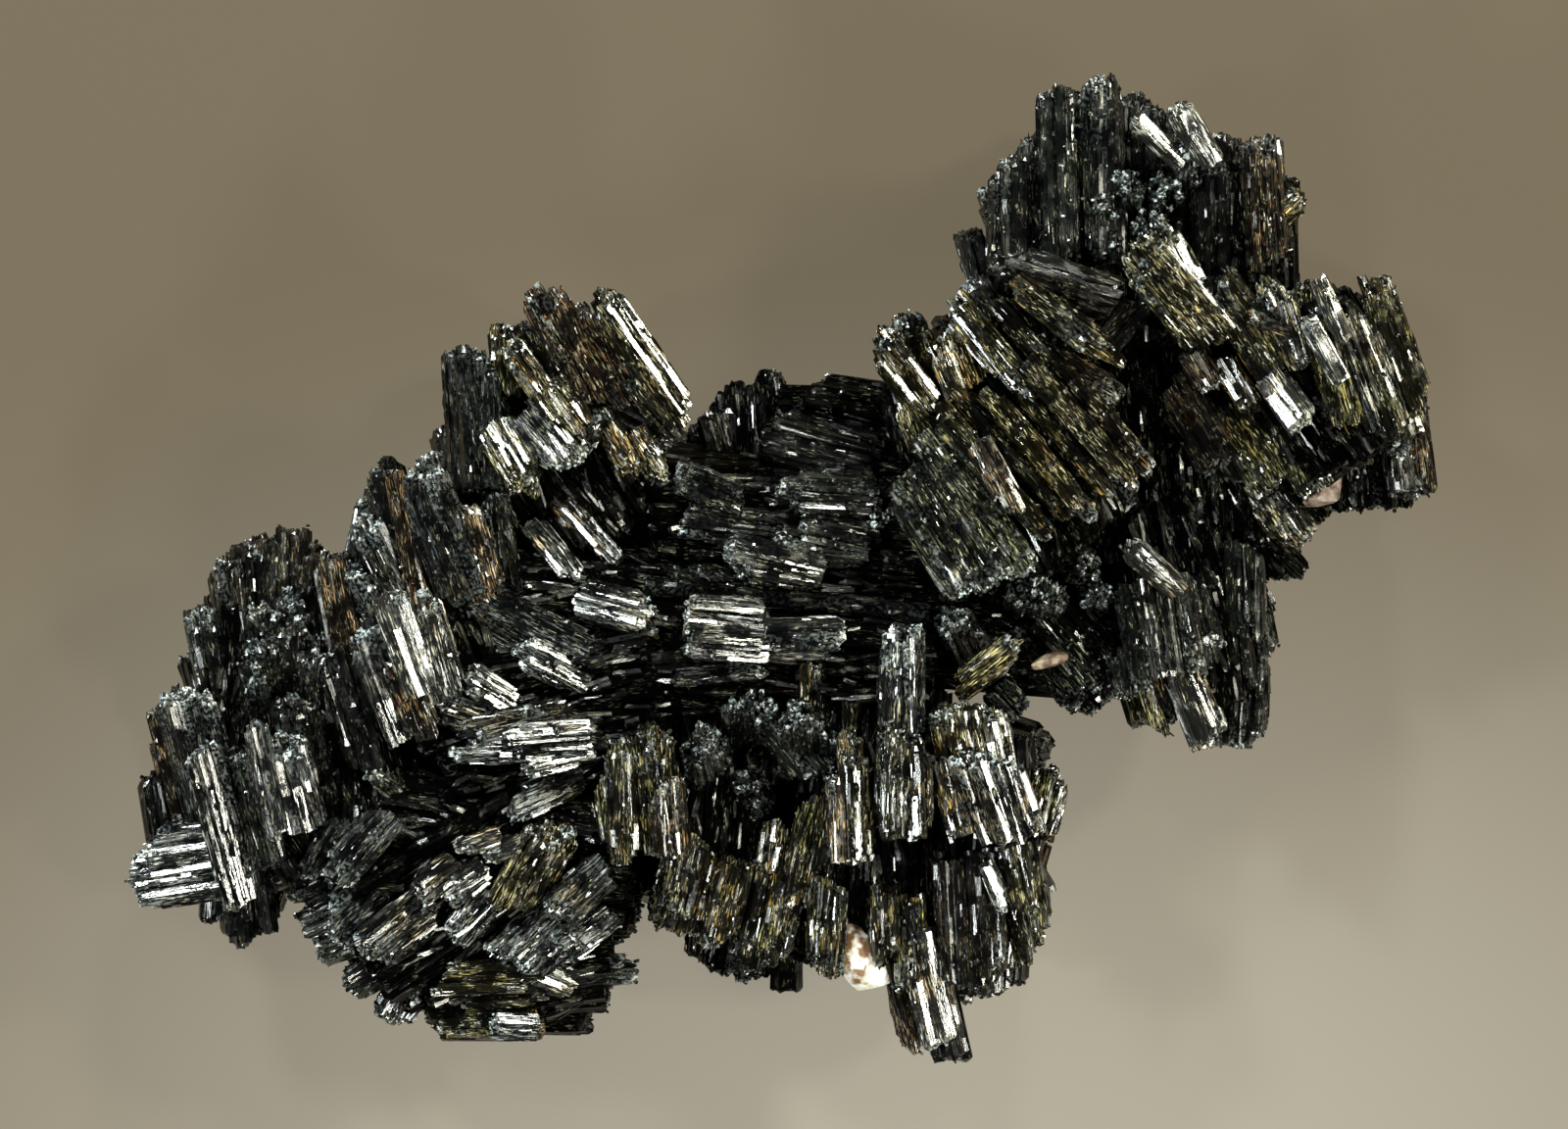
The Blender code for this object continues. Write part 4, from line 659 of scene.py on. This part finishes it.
def prism_part(prisms, finish, rng):
    """Grooved prisms: a hexagon whose faces each have a shallow groove along the middle, in four rings, at the
    foot, part of the way up, at the shoulder and at the narrower, uneven tip. The upper rings bow a little."""
    foot, axis, side, over, span, radius, spin, tint, _ = prisms
    n = span.size
    corner = np.arange(PRISM_POINTS) % 2 == 0
    flat = np.cos(np.pi / 6)  # how far the middle of a hexagon's side is from its axis, in radii
    groove = np.where(corner, 1.0, flat * (1 - GROOVE * rng.random((n, PRISM_POINTS)) ** 3))
    sway = np.where(corner, 0.05, 0.16) * rng.uniform(-1, 1, (n, PRISM_POINTS))
    twist = rng.normal(0, 0.04, (n, PRISM_RINGS, 1))
    angle = spin[:, None] + np.pi / 6 * np.arange(PRISM_POINTS) + sway
    shoulder = np.clip(rng.uniform(*SHOULDER, n) / span, 0.01, 0.4)
    t = np.stack((np.zeros(n), (1 - shoulder) * rng.uniform(0.2, 0.8, n), 1 - shoulder, np.ones(n)), 1)
    along = t * span[:, None]
    uneven = np.array(UNEVEN)[:, None] * rng.uniform(-1, 1, (n, PRISM_RINGS, PRISM_POINTS))
    foot_wide, half_wide = rng.uniform(0.8, 1.0, n), rng.uniform(0.94, 1.06, n)
    wide = np.stack((foot_wide, half_wide, np.ones(n), rng.uniform(0.5, 0.85, n)), 1)
    rough = rng.uniform(0.97, 1.03, (n, PRISM_RINGS, PRISM_POINTS))
    size = radius[:, None, None] * wide[..., None] * groove[:, None, :] * rough
    place = carried(foot, axis, side, over, along[..., None] + uneven, size, angle[:, None, :] + twist)
    bow = rng.normal(0, GLARE_BOW if finish == "glare" else BOW, (n, 2))
    place[:, 1:] += np.stack((bow[:, 0], bow[:, 1], bow[:, 1]), 1)[..., None, None] * over[:, None, None, :]
    bruise = paleness(finish, n, rng)
    pale = np.stack((0.1 * bruise, np.zeros(n), 0.15 * bruise, bruise), 1)
    return Rods(place, along, radius, tint, pale, finish)


def surface_at(prisms, host, phi):
    """How far a prism's face is from its axis at that angle: r cos 30 / cos(angle within the face)."""
    within = np.mod(phi - prisms.spin[host], np.pi / 3) - np.pi / 6
    return prisms.radius[host] * np.cos(np.pi / 6) / np.cos(within)


def crust_part(prisms, row, rng):
    """Splinters that lie along the prisms, crumbs round their tips and crumbs on their faces. Each is a five-sided
    rod in three rings, sunk into the face that carries it. Some splinters are stout, most of them on a block,
    where they stand out as shards. What lies inside another sheaf is left out."""
    foot, axis, side, over, span, radius, spin, tint, exposed = prisms
    finish = FINISHES[row.finish]
    block = STOUT.get(row) == "blocks"
    share = (GLEAM_CRUST if row.gleam == 2 else 1.0) if row not in STOUT else BLOCK_CRUST if block else BED_CRUST
    height = (foot - LIES[row].root) @ LIES[row].up
    hosts = np.flatnonzero(exposed & (height > 0.1 * row.depth) if block else exposed)
    if not len(hosts):
        return None
    area = 1.6 * radius[hosts] * span[hosts]  # that shows, in square mm
    splinter = rng.choice(hosts, int(share * finish.splinters * area.sum() + rng.random()), p=area / area.sum())
    crumb = rng.choice(hosts, int(share * finish.crumbs * area.sum() + rng.random()), p=area / area.sum())
    tip = np.repeat(np.arange(span.size), rng.poisson(share * finish.tip_crumbs * np.sqrt(radius / 0.36)))
    host = np.concatenate((splinter, tip, crumb))
    n, ns, nt = host.size, splinter.size, tip.size
    is_splinter, is_tip = np.arange(n) < ns, (np.arange(n) >= ns) & (np.arange(n) < ns + nt)
    phi = np.pi / 2 + rng.normal(0, 0.75, n)  # most of the crust is on top, and a quarter of it all round
    phi = np.where(is_tip | (rng.random(n) < 0.25), rng.uniform(0, 2 * np.pi, n), phi)
    stout = is_splinter & (rng.random(n) < (BLOCK_STOUT if block else STOUT_SHARE))
    thick = np.where(is_splinter, rng.uniform(*SPLINTER_THICK, n), rng.uniform(*CRUMB_THICK, n))
    thick = np.where(stout, rng.uniform(*STOUT_THICK, n), thick)
    long = np.where(is_splinter, SPLINTER_LEAST + rng.gamma(*SPLINTER_DRAW, n), rng.uniform(*CRUMB_LONG, n))
    long = np.where(stout, long + STOUT_EXTRA, long)
    long = np.minimum(long, np.minimum(0.9 * span[host], LONGEST_SPLINTER))
    s = np.where(is_tip, span[host] - rng.uniform(0.0, 0.22, n), rng.random(n) * (span[host] - long))
    sunk = np.where(is_splinter, rng.uniform(0.1, 0.8, n), 0.4) * thick
    far = np.where(is_tip, radius[host] * rng.uniform(0.0, 0.95, n), surface_at(prisms, host, phi) - sunk)
    outward = np.cos(phi)[:, None] * side[host] + np.sin(phi)[:, None] * over[host]
    centre = foot[host] + s[:, None] * axis[host] + far[:, None] * outward
    loose = np.where(is_splinter, 0.15 if block else 0.035, np.where(is_tip, 0.45, 0.9))[:, None]
    push = np.where(is_splinter, 0.0, np.where(is_tip, 0.3, 0.9))[:, None]
    line = unit(axis[host] + loose * rng.normal(0, 1, (n, 3)) + push * outward)
    flank = unit(np.cross(line, axis[host] * 0.2 + outward))
    cover = np.cross(flank, line)
    ring = np.stack((rng.uniform(0.6, 1.0, n), np.ones(n), rng.uniform(0.3, 0.8, n)), 1)
    along = np.stack((np.zeros(n), rng.uniform(0.55, 0.92, n), np.ones(n)), 1) * long[:, None]
    size = thick[:, None, None] * ring[..., None] * rng.uniform(0.85, 1.12, (n, 1, CRUST_POINTS))
    angle = np.where(is_splinter, spin[host] + rng.normal(0, 0.35, n), rng.uniform(0, 1, n))[:, None]
    angle = angle + 2 * np.pi / CRUST_POINTS * np.arange(CRUST_POINTS)
    place = carried(centre, line, flank, cover, along[..., None], size, angle[:, None, :])
    shade = tint[host] * (3.0 * rng.random(n) ** 3 if block else rng.uniform(0.3, 2.2, n))
    bruise = paleness(row.finish, n, rng) * np.where(is_tip, 1.0, rng.random(n))
    near_tip = np.where(is_splinter, np.clip(1 - (span[host] - s - long) / 0.5, 0, 1), 1.0)
    pale = np.array((0.3, 0.7, 1.0)) * (bruise * near_tip)[:, None]
    shown = ~inside_another(centre + 0.5 * along[:, -1:] * line, row)
    kept = (values[shown] for values in (place, along, thick, shade, pale))
    return Rods(*kept, "shard" if block else row.finish)


def inside_another(places, own):
    """Which places are well inside a sheaf other than their own: along its middle part, and in the squared oval
    of its section, |2u / width|^3 + |2v / depth|^3 < WELL_INSIDE. Thin sheaves hide nothing."""
    hidden = np.zeros(len(places), bool)
    for row, (root, way, level, up, _, length) in LIES.items():
        if row is own or row.width * row.depth < LEAST_SECTION:
            continue
        local = places - root
        along, u, v = local @ way, local @ level, local @ up
        oval = np.abs(2 * u / row.width) ** 3 + np.abs(2 * v / row.depth) ** 3
        hidden |= (along > MIDDLE_PART[0] * length) & (along < MIDDLE_PART[1] * length) & (oval < WELL_INSIDE)
    return hidden


def bundle_mesh(name, parts, rng):
    """One mesh from the rings of many rods. Quads join each ring to the next and a flat face closes each end.
    The grain map runs in mm round and along a rod, from its own random corner, and the bake map gives each rod
    a cell of its own in a square of cells, with the side below and the two ends at the top."""
    place, along, radius, tint, pale = (np.concatenate([part[k] for part in parts]) for k in range(5))
    counts = [len(part.place) for part in parts]
    finishes = [FINISHES[part.finish] for part in parts]
    shade = np.repeat([f.body for f in finishes], counts, 0) * tint[:, None]
    rib = np.repeat([f.rib for f in finishes], counts, 0) * tint[:, None]
    polish = np.repeat([f.roughness for f in finishes], counts)
    fleck = np.repeat([f.fleck for f in finishes], counts)
    n, rings, points = place.shape[:3]
    place = (place - TABLE_CENTRE) * MM
    place[..., 2] = np.maximum(place[..., 2], 0.0)
    index = np.arange(n * rings * points).reshape(n, rings, points)
    after = np.roll(index, -1, 2)
    quads = np.stack((index[:, :-1], after[:, :-1], after[:, 1:], index[:, 1:]), -1).reshape(-1, 4)
    caps = np.concatenate((index[:, 0, ::-1], index[:, -1]))
    mesh = bpy.data.meshes.new(name)
    mesh.vertices.add(index.size)
    mesh.vertices.foreach_set("co", place.astype(np.float32).ravel())
    corners = np.concatenate((quads.ravel(), caps.ravel()))
    starts = np.concatenate((np.arange(len(quads)) * 4, quads.size + np.arange(len(caps)) * points))
    mesh.loops.add(corners.size)
    mesh.loops.foreach_set("vertex_index", corners.astype(np.int32))
    mesh.polygons.add(len(starts))
    mesh.polygons.foreach_set("loop_start", starts.astype(np.int32))
    mesh.update(calc_edges=True)
    mesh.shade_flat()
    start_u, start_v = (rng.random((n, 2)) * GRAIN_CORNERS).T.reshape(2, n, 1, 1, 1)
    j = np.arange(points)[:, None] + np.array((0, 1, 1, 0))
    round_mm = start_u + radius.reshape(n, 1, 1, 1) * 6 * j / points
    ends = np.stack((along[:, :-1], along[:, :-1], along[:, 1:], along[:, 1:]), -1)
    long_mm = start_v + ends[:, :, None]
    shape = (n, rings - 1, points, 4)
    grain = np.stack((np.broadcast_to(round_mm, shape), np.broadcast_to(long_mm, shape)), -1).reshape(-1, 2)
    flat = np.concatenate((place[:, 0, ::-1], place[:, -1]))[..., :2] / MM
    grain = np.concatenate((grain, flat.reshape(-1, 2)))
    cells = int(np.ceil(np.sqrt(n)))
    cell = np.stack((np.arange(n) % cells, np.arange(n) // cells), 1)
    k = np.arange(rings - 1)[:, None, None] + np.array((0, 0, 1, 1))
    cell_u, cell_v = cell.T.reshape(2, n, 1, 1, 1)
    side_u = (cell_u + np.broadcast_to(0.04 + 0.92 * j / points, shape)) / cells
    side_v = (cell_v + np.broadcast_to(0.04 + 0.8 * k / (rings - 1), shape)) / cells
    spin = 2 * np.pi * np.arange(points) / points
    disc = np.stack((0.5 + 0.4 * np.cos(spin), 0.92 + 0.05 * np.sin(spin)), 1)
    end_map = ((np.concatenate((cell, cell))[:, None, :] + disc) / cells).reshape(-1, 2)
    bake = np.concatenate((np.stack((side_u, side_v), -1).reshape(-1, 2), end_map))
    for layer, values in (("grain", grain), ("OFBake", bake)):
        mesh.uv_layers.new(name=layer).data.foreach_set("uv", values.astype(np.float32).ravel())
    per_rod = rings * points
    for layer, values in (("shade", shade), ("rib", rib)):
        four = np.concatenate((np.repeat(values, per_rod, 0), np.ones((index.size, 1))), 1).astype(np.float32)
        mesh.attributes.new(layer, "FLOAT_COLOR", "POINT").data.foreach_set("color", four.ravel())
    for layer, values in (
        ("tip", np.repeat(pale.ravel(), points)),
        ("polish", np.repeat(polish, per_rod)),
        ("fleck", np.repeat(fleck, per_rod)),
    ):
        mesh.attributes.new(layer, "FLOAT", "POINT").data.foreach_set("value", values.astype(np.float32))
    return mesh


def core_part(row, rng):
    """The core of a stout sheaf, carried in four rings along it. The profile is an oval of power four,
    (|cos a|^4 + |sin a|^4)^(-1/4) times the half width or depth, with dents of up to CORE_DENT at random round
    it."""
    root, way, level, up, _, length = LIES[row]
    angle = 2 * np.pi * np.arange(CORE_POINTS) / CORE_POINTS
    c, s = np.cos(angle), np.sin(angle)
    oval = (np.abs(c) ** 4 + np.abs(s) ** 4) ** -0.25 * (1 - rng.uniform(0.0, CORE_DENT, CORE_POINTS))
    t, ring = np.array(CORE_RINGS), np.array(CORE_SIZES)[:, None]
    x, y = 0.5 * row.width * ring * oval * c, 0.5 * row.depth * ring * oval * s
    place = (root + (t * length)[:, None] * way)[:, None, :] + x[..., None] * level + y[..., None] * up
    along, one = (t * length)[None], np.array([1.0])
    return Rods(place[None], along, np.array([row.width]), one, np.zeros((1, 4)), row.finish)


def lump_mesh(name, middle, half, turn, planes, rng):
    """A broken grain of mineral as a closed grid of two angles. In each direction it reaches as far as the nearest
    of some randomly turned planes, distance / cos(angle to the plane's normal), and no farther than a box with
    round edges. It is then stretched to its half sizes and turned about Z."""
    a = 2 * np.pi * np.arange(LUMP_AROUND) / LUMP_AROUND
    b = np.pi * (np.arange(1, LUMP_DOWN)) / LUMP_DOWN
    a, b = np.meshgrid(a, b)
    rays = np.stack((np.sin(b) * np.cos(a), np.sin(b) * np.sin(a), np.cos(b)), -1).reshape(-1, 3)
    rays = np.concatenate((rays, ((0, 0, 1.0), (0, 0, -1.0))))
    faces = unit(rng.normal(0, 1, (planes, 3)))
    swell = (rng.uniform(*PLANE_REACH, planes) / np.maximum(rays @ faces.T, 0.05)).min(1)
    swell = np.minimum(swell, 1.05 * (np.abs(rays) ** 6).sum(1) ** (-1 / 6))
    spin = np.radians(turn)
    x, y, z = (rays * swell[:, None] * np.array(half)).T
    place = np.stack((x * np.cos(spin) - y * np.sin(spin), x * np.sin(spin) + y * np.cos(spin), z), 1)
    place = (place + np.array(middle) - TABLE_CENTRE) * MM
    index = np.arange(LUMP_AROUND * (LUMP_DOWN - 1)).reshape(LUMP_DOWN - 1, LUMP_AROUND)
    after = np.roll(index, -1, 1)
    quads = np.stack((index[:-1], index[1:], after[1:], after[:-1]), -1).reshape(-1, 4).tolist()
    top, foot = index.size, index.size + 1
    fans = [(top, index[0, k], after[0, k]) for k in range(LUMP_AROUND)]
    fans += [(foot, after[-1, k], index[-1, k]) for k in range(LUMP_AROUND)]
    mesh = bpy.data.meshes.new(name)
    mesh.from_pydata(place.tolist(), [], quads + fans)
    mesh.update()
    return mesh


def fed(tree, node, values, output=0):
    """An output of a node whose sockets are each linked to another one or given a number, numbers or a colour."""
    for name, value in values.items():
        socket = node.inputs[name]
        if isinstance(value, bpy.types.NodeSocket):
            tree.links.new(value, socket)
        else:
            socket.default_value = (*value, 1.0) if socket.type == "RGBA" else value
    return node.outputs[output]


def noise(tree, vector, scale, detail, roughness):
    """Cloudy noise: layers of random bumps, scale of them to a unit, each layer finer and fainter."""
    values = {"Vector": vector, "Scale": scale, "Detail": detail, "Roughness": roughness}
    return fed(tree, tree.nodes.new("ShaderNodeTexNoise"), values, "Fac")


def mapped(tree, vector, scale, shift=(0.0, 0.0, 0.0)):
    """A pattern's place, times the scale and plus the shift."""
    values = {"Vector": vector, "Scale": scale, "Location": shift}
    return fed(tree, tree.nodes.new("ShaderNodeMapping"), values, "Vector")


def between(tree, value, low, high, out_low=0.0, out_high=1.0):
    """A value carried smoothly from low..high to out_low..out_high."""
    node = tree.nodes.new("ShaderNodeMapRange")
    node.interpolation_type = "SMOOTHSTEP"
    values = {"Value": value, "From Min": low, "From Max": high, "To Min": out_low, "To Max": out_high}
    return fed(tree, node, values, "Result")


def combined(tree, kind, a, b):
    """The sum or the product of two values, each a socket or a number."""
    node = tree.nodes.new("ShaderNodeMath")
    node.operation = kind
    return fed(tree, node, {0: a, 1: b}, 0)


def mixed(tree, share, a, b, kind="MIX"):
    """A colour that goes from a to b with the share, or a times b, each a socket or three numbers."""
    node = tree.nodes.new("ShaderNodeMix")
    node.data_type, node.blend_type = "RGBA", kind
    return fed(tree, node, {"Factor": share, 6: a, 7: b}, 2)


def attribute(tree, name, output):
    """A value that the mesh carries on its points."""
    node = tree.nodes.new("ShaderNodeAttribute")
    node.attribute_name = name
    return node.outputs[output]


def new_material(name):
    """An empty finish, its nodes, its shader, and the place on the piece in metres."""
    made = bpy.data.materials.new(name)
    made.use_nodes = True
    tree = made.node_tree
    return made, tree, tree.nodes["Principled BSDF"], tree.nodes.new("ShaderNodeTexCoord").outputs["Object"]


def bumps(tree, height, strength, distance):
    """A normal raised by that height, up to the distance in mm."""
    values = {"Height": height, "Strength": strength, "Distance": distance * MM}
    return fed(tree, tree.nodes.new("ShaderNodeBump"), values, "Normal")


def striated_prisms(name, specular):
    """Foitite: dark glassy prisms whose fine ribs run along them in broken streaks, with painted glints (pale cream
    flecks painted into the base colour where light would catch) and pale bruised tips. Streaks are coarse ribs
    times fine ribs times slow patches."""
    made, tree, shader, place = new_material(name)
    grain = tree.nodes.new("ShaderNodeUVMap")
    grain.uv_map = "grain"
    grain = grain.outputs["UV"]
    ribs = noise(tree, mapped(tree, grain, (8.0, 0.7, 1.0)), 1.0, 3.0, 0.62)
    fine = noise(tree, mapped(tree, grain, (17.0, 1.5, 1.0)), 1.0, 2.0, 0.6)
    fleck = noise(tree, mapped(tree, grain, (10.0, 1.6, 1.0)), 1.0, 2.0, 0.6)
    patch = noise(tree, place, 1.0 / (PATCH * MM), 2.0, 0.5)
    broad = noise(tree, place, 1.0 / (BROAD * MM), 1.0, 0.5)
    crumbly = noise(tree, place, 1.0 / (CRUMBLY * MM), 3.0, 0.6)
    streak = combined(tree, "MULTIPLY", between(tree, ribs, 0.51, 0.61), between(tree, fine, 0.44, 0.58, 0.03, 1.0))
    shown = combined(tree, "MULTIPLY", streak, between(tree, patch, 0.40, 0.60, 0.04, 1.1))
    warm = mixed(tree, between(tree, broad, 0.48, 0.62), (1.0, 1.0, 1.0), WARM)
    rib = mixed(tree, 1.0, attribute(tree, "rib", "Color"), warm, "MULTIPLY")
    body = mixed(tree, shown, attribute(tree, "shade", "Color"), rib)
    # Painted glints: where a thin noise peaks, the base colour turns pale cream, as if light caught there.
    glint = combined(tree, "MULTIPLY", between(tree, fleck, 0.61, 0.65), between(tree, patch, 0.42, 0.54))
    sparkle = combined(tree, "MULTIPLY", glint, attribute(tree, "fleck", "Fac"))
    body = mixed(tree, sparkle, body, PAINTED_GLINT_COLOUR)
    bruised = between(tree, crumbly, 0.48, 0.58, 0.01, 1.0)
    bruise = combined(tree, "MULTIPLY", attribute(tree, "tip", "Fac"), bruised)
    body = mixed(tree, bruise, body, BRUISE)
    rough = combined(tree, "ADD", attribute(tree, "polish", "Fac"), between(tree, patch, 0.3, 0.7, -0.04, 0.10))
    rough = combined(tree, "ADD", rough, combined(tree, "MULTIPLY", bruise, 0.3))
    height = combined(tree, "ADD", fine, combined(tree, "MULTIPLY", ribs, 1.2))
    fed(tree, shader, {"Base Color": body, "Roughness": rough, "Normal": bumps(tree, height, 0.75, RIB_HEIGHT)})
    fed(tree, shader, {"IOR": FOITITE_IOR, "Specular IOR Level": specular})
    return made


def grain_finish(name, light, dark, stain, clean, roughness, soft):
    """A light mineral: cloudy between two tones, stained where a slow noise is over the share called clean, and a
    little see-through."""
    made, tree, shader, place = new_material(name)
    cloud = noise(tree, place, 1.0 / (CLOUD * MM), 4.0, 0.6)
    spot = noise(tree, place, 1.0 / (STAIN_SPOT * MM), 3.0, 0.6)
    body = mixed(tree, between(tree, cloud, 0.35, 0.65), dark, light)
    body = mixed(tree, between(tree, spot, clean, clean + 0.12), body, stain)
    rough = between(tree, cloud, 0.3, 0.7, roughness, roughness + 0.2)
    fed(tree, shader, {"Base Color": body, "Roughness": rough, "Normal": bumps(tree, cloud, 0.6, LUMP_HEIGHT)})
    fed(tree, shader, {"IOR": GRAIN_IOR, "Subsurface Weight": soft, "Subsurface Scale": CLOUD * MM})
    return made


def add_piece(mesh, finish, replaced):
    """Puts a finished mesh into the scene as a piece that rides on the specimen."""
    mesh.materials.append(finish)
    piece = bpy.data.objects.new(mesh.name, mesh)
    bpy.context.scene.collection.objects.link(piece)
    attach(piece, "root")
    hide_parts(replaced)


LIES = {row: lie_of(row) for rows in SHEAVES.values() for row in rows}
STOUT = {row: lobe for lobe in BEDS for row in SHEAVES[lobe]}


def lay_out():
    """Grows each lobe's prisms and crust in turn from one stream of random numbers, then the cores of the beds,
    then the grains."""
    rng = np.random.default_rng(SEED)
    # The shaded copy, with a tenth of the reflection, is painted shade for the hollows, the blocks and the cores.
    foitite, shaded = striated_prisms("striated_foitite", 0.6), striated_prisms("shaded_foitite", 0.06)
    for lobe, rows in SHEAVES.items():
        grown = [(row, prisms_of(row, rng)) for row in rows]
        prisms = bundle_mesh(lobe + "_prisms", [prism_part(p, row.finish, rng) for row, p in grown], rng)
        crusts = [crust_part(p, row, rng) for row, p in grown]
        crust = bundle_mesh(lobe + "_crust", [part for part in crusts if part is not None], rng)
        add_piece(prisms, shaded if lobe in SHADED else foitite, "foitite_cluster")
        add_piece(crust, foitite, "foitite_cluster")
    cores = bundle_mesh("cores", [core_part(row, rng) for row in STOUT], rng)
    add_piece(cores, shaded, "foitite_cluster")
    for name, (middle, half, turn, planes, slot, finish) in GRAINS.items():
        lump = lump_mesh(name + "_lump", middle, half, turn, planes, rng)
        add_piece(lump, grain_finish(finish, *GRAIN_FINISHES[finish]), name)


def floor_and_light():
    """The surface that the specimen lies on, lamps, a dim room and the camera. The floor glows from the middle of
    an oval, and its tones fall off smoothly to GLOW_REACH: a painted pool of light, which also washes out the
    lamps' shadows."""
    mesh = bpy.data.meshes.new("floor")
    corners = [(x * FLOOR_REACH, y * FLOOR_REACH, -FLOOR_DROP) for x, y in ((-1, -1), (1, -1), (1, 1), (-1, 1))]
    mesh.from_pydata(corners, [], [(0, 1, 2, 3)])
    floor = bpy.data.objects.new("floor", mesh)
    bpy.context.scene.collection.objects.link(floor)
    made, tree, shader, place = new_material("pale_floor")
    reach = tree.nodes.new("ShaderNodeVectorMath")
    reach.operation = "LENGTH"
    spot = mapped(tree, place, GLOW_SCALE, GLOW_SHIFT)
    share = between(tree, fed(tree, reach, {0: spot}, "Value"), 0.0, GLOW_REACH)
    # Painted pool of light: the floor's colour and glow are brightest in the middle of the oval.
    tones, glow = mixed(tree, share, *FLOOR_POOL_TONES), mixed(tree, share, *FLOOR_GLOW)
    fed(tree, shader, {"Base Color": tones, "Emission Color": glow, "Emission Strength": 1.0})
    fed(tree, shader, {"Roughness": 0.9, "Specular IOR Level": 0.1})
    mesh.materials.append(made)
    for name, (azimuth, elevation, distance, size, watts, colour) in LAMPS.items():
        light = bpy.data.lights.new(name, "AREA")
        light.shape = "DISK"
        light.size = size * MM
        light.energy = watts
        light.color = colour
        lamp = bpy.data.objects.new(name, light)
        way = aim(azimuth, elevation)
        lamp.location = way * distance * MM
        lamp.rotation_mode = "QUATERNION"
        lamp.rotation_quaternion = Vector(way).to_track_quat("Z", "Y")
        bpy.context.scene.collection.objects.link(lamp)
    world = bpy.data.worlds.new("room")
    world.use_nodes = True
    room = world.node_tree.nodes["Background"]
    room.inputs["Color"].default_value = (*ROOM_COLOUR, 1.0)
    room.inputs["Strength"].default_value = ROOM_STRENGTH
    bpy.context.scene.world = world
    lens = bpy.data.cameras.new("camera")
    lens.lens, lens.sensor_width = LENS, SENSOR
    lens.clip_start, lens.clip_end = NEAR, FAR
    camera = bpy.data.objects.new("camera", lens)
    camera.location = (np.array(EYE) - TABLE_CENTRE) * MM
    bpy.context.scene.collection.objects.link(camera)
    bpy.context.scene.camera = camera
    bpy.context.scene.view_settings.view_transform = "Standard"


lay_out()
floor_and_light()
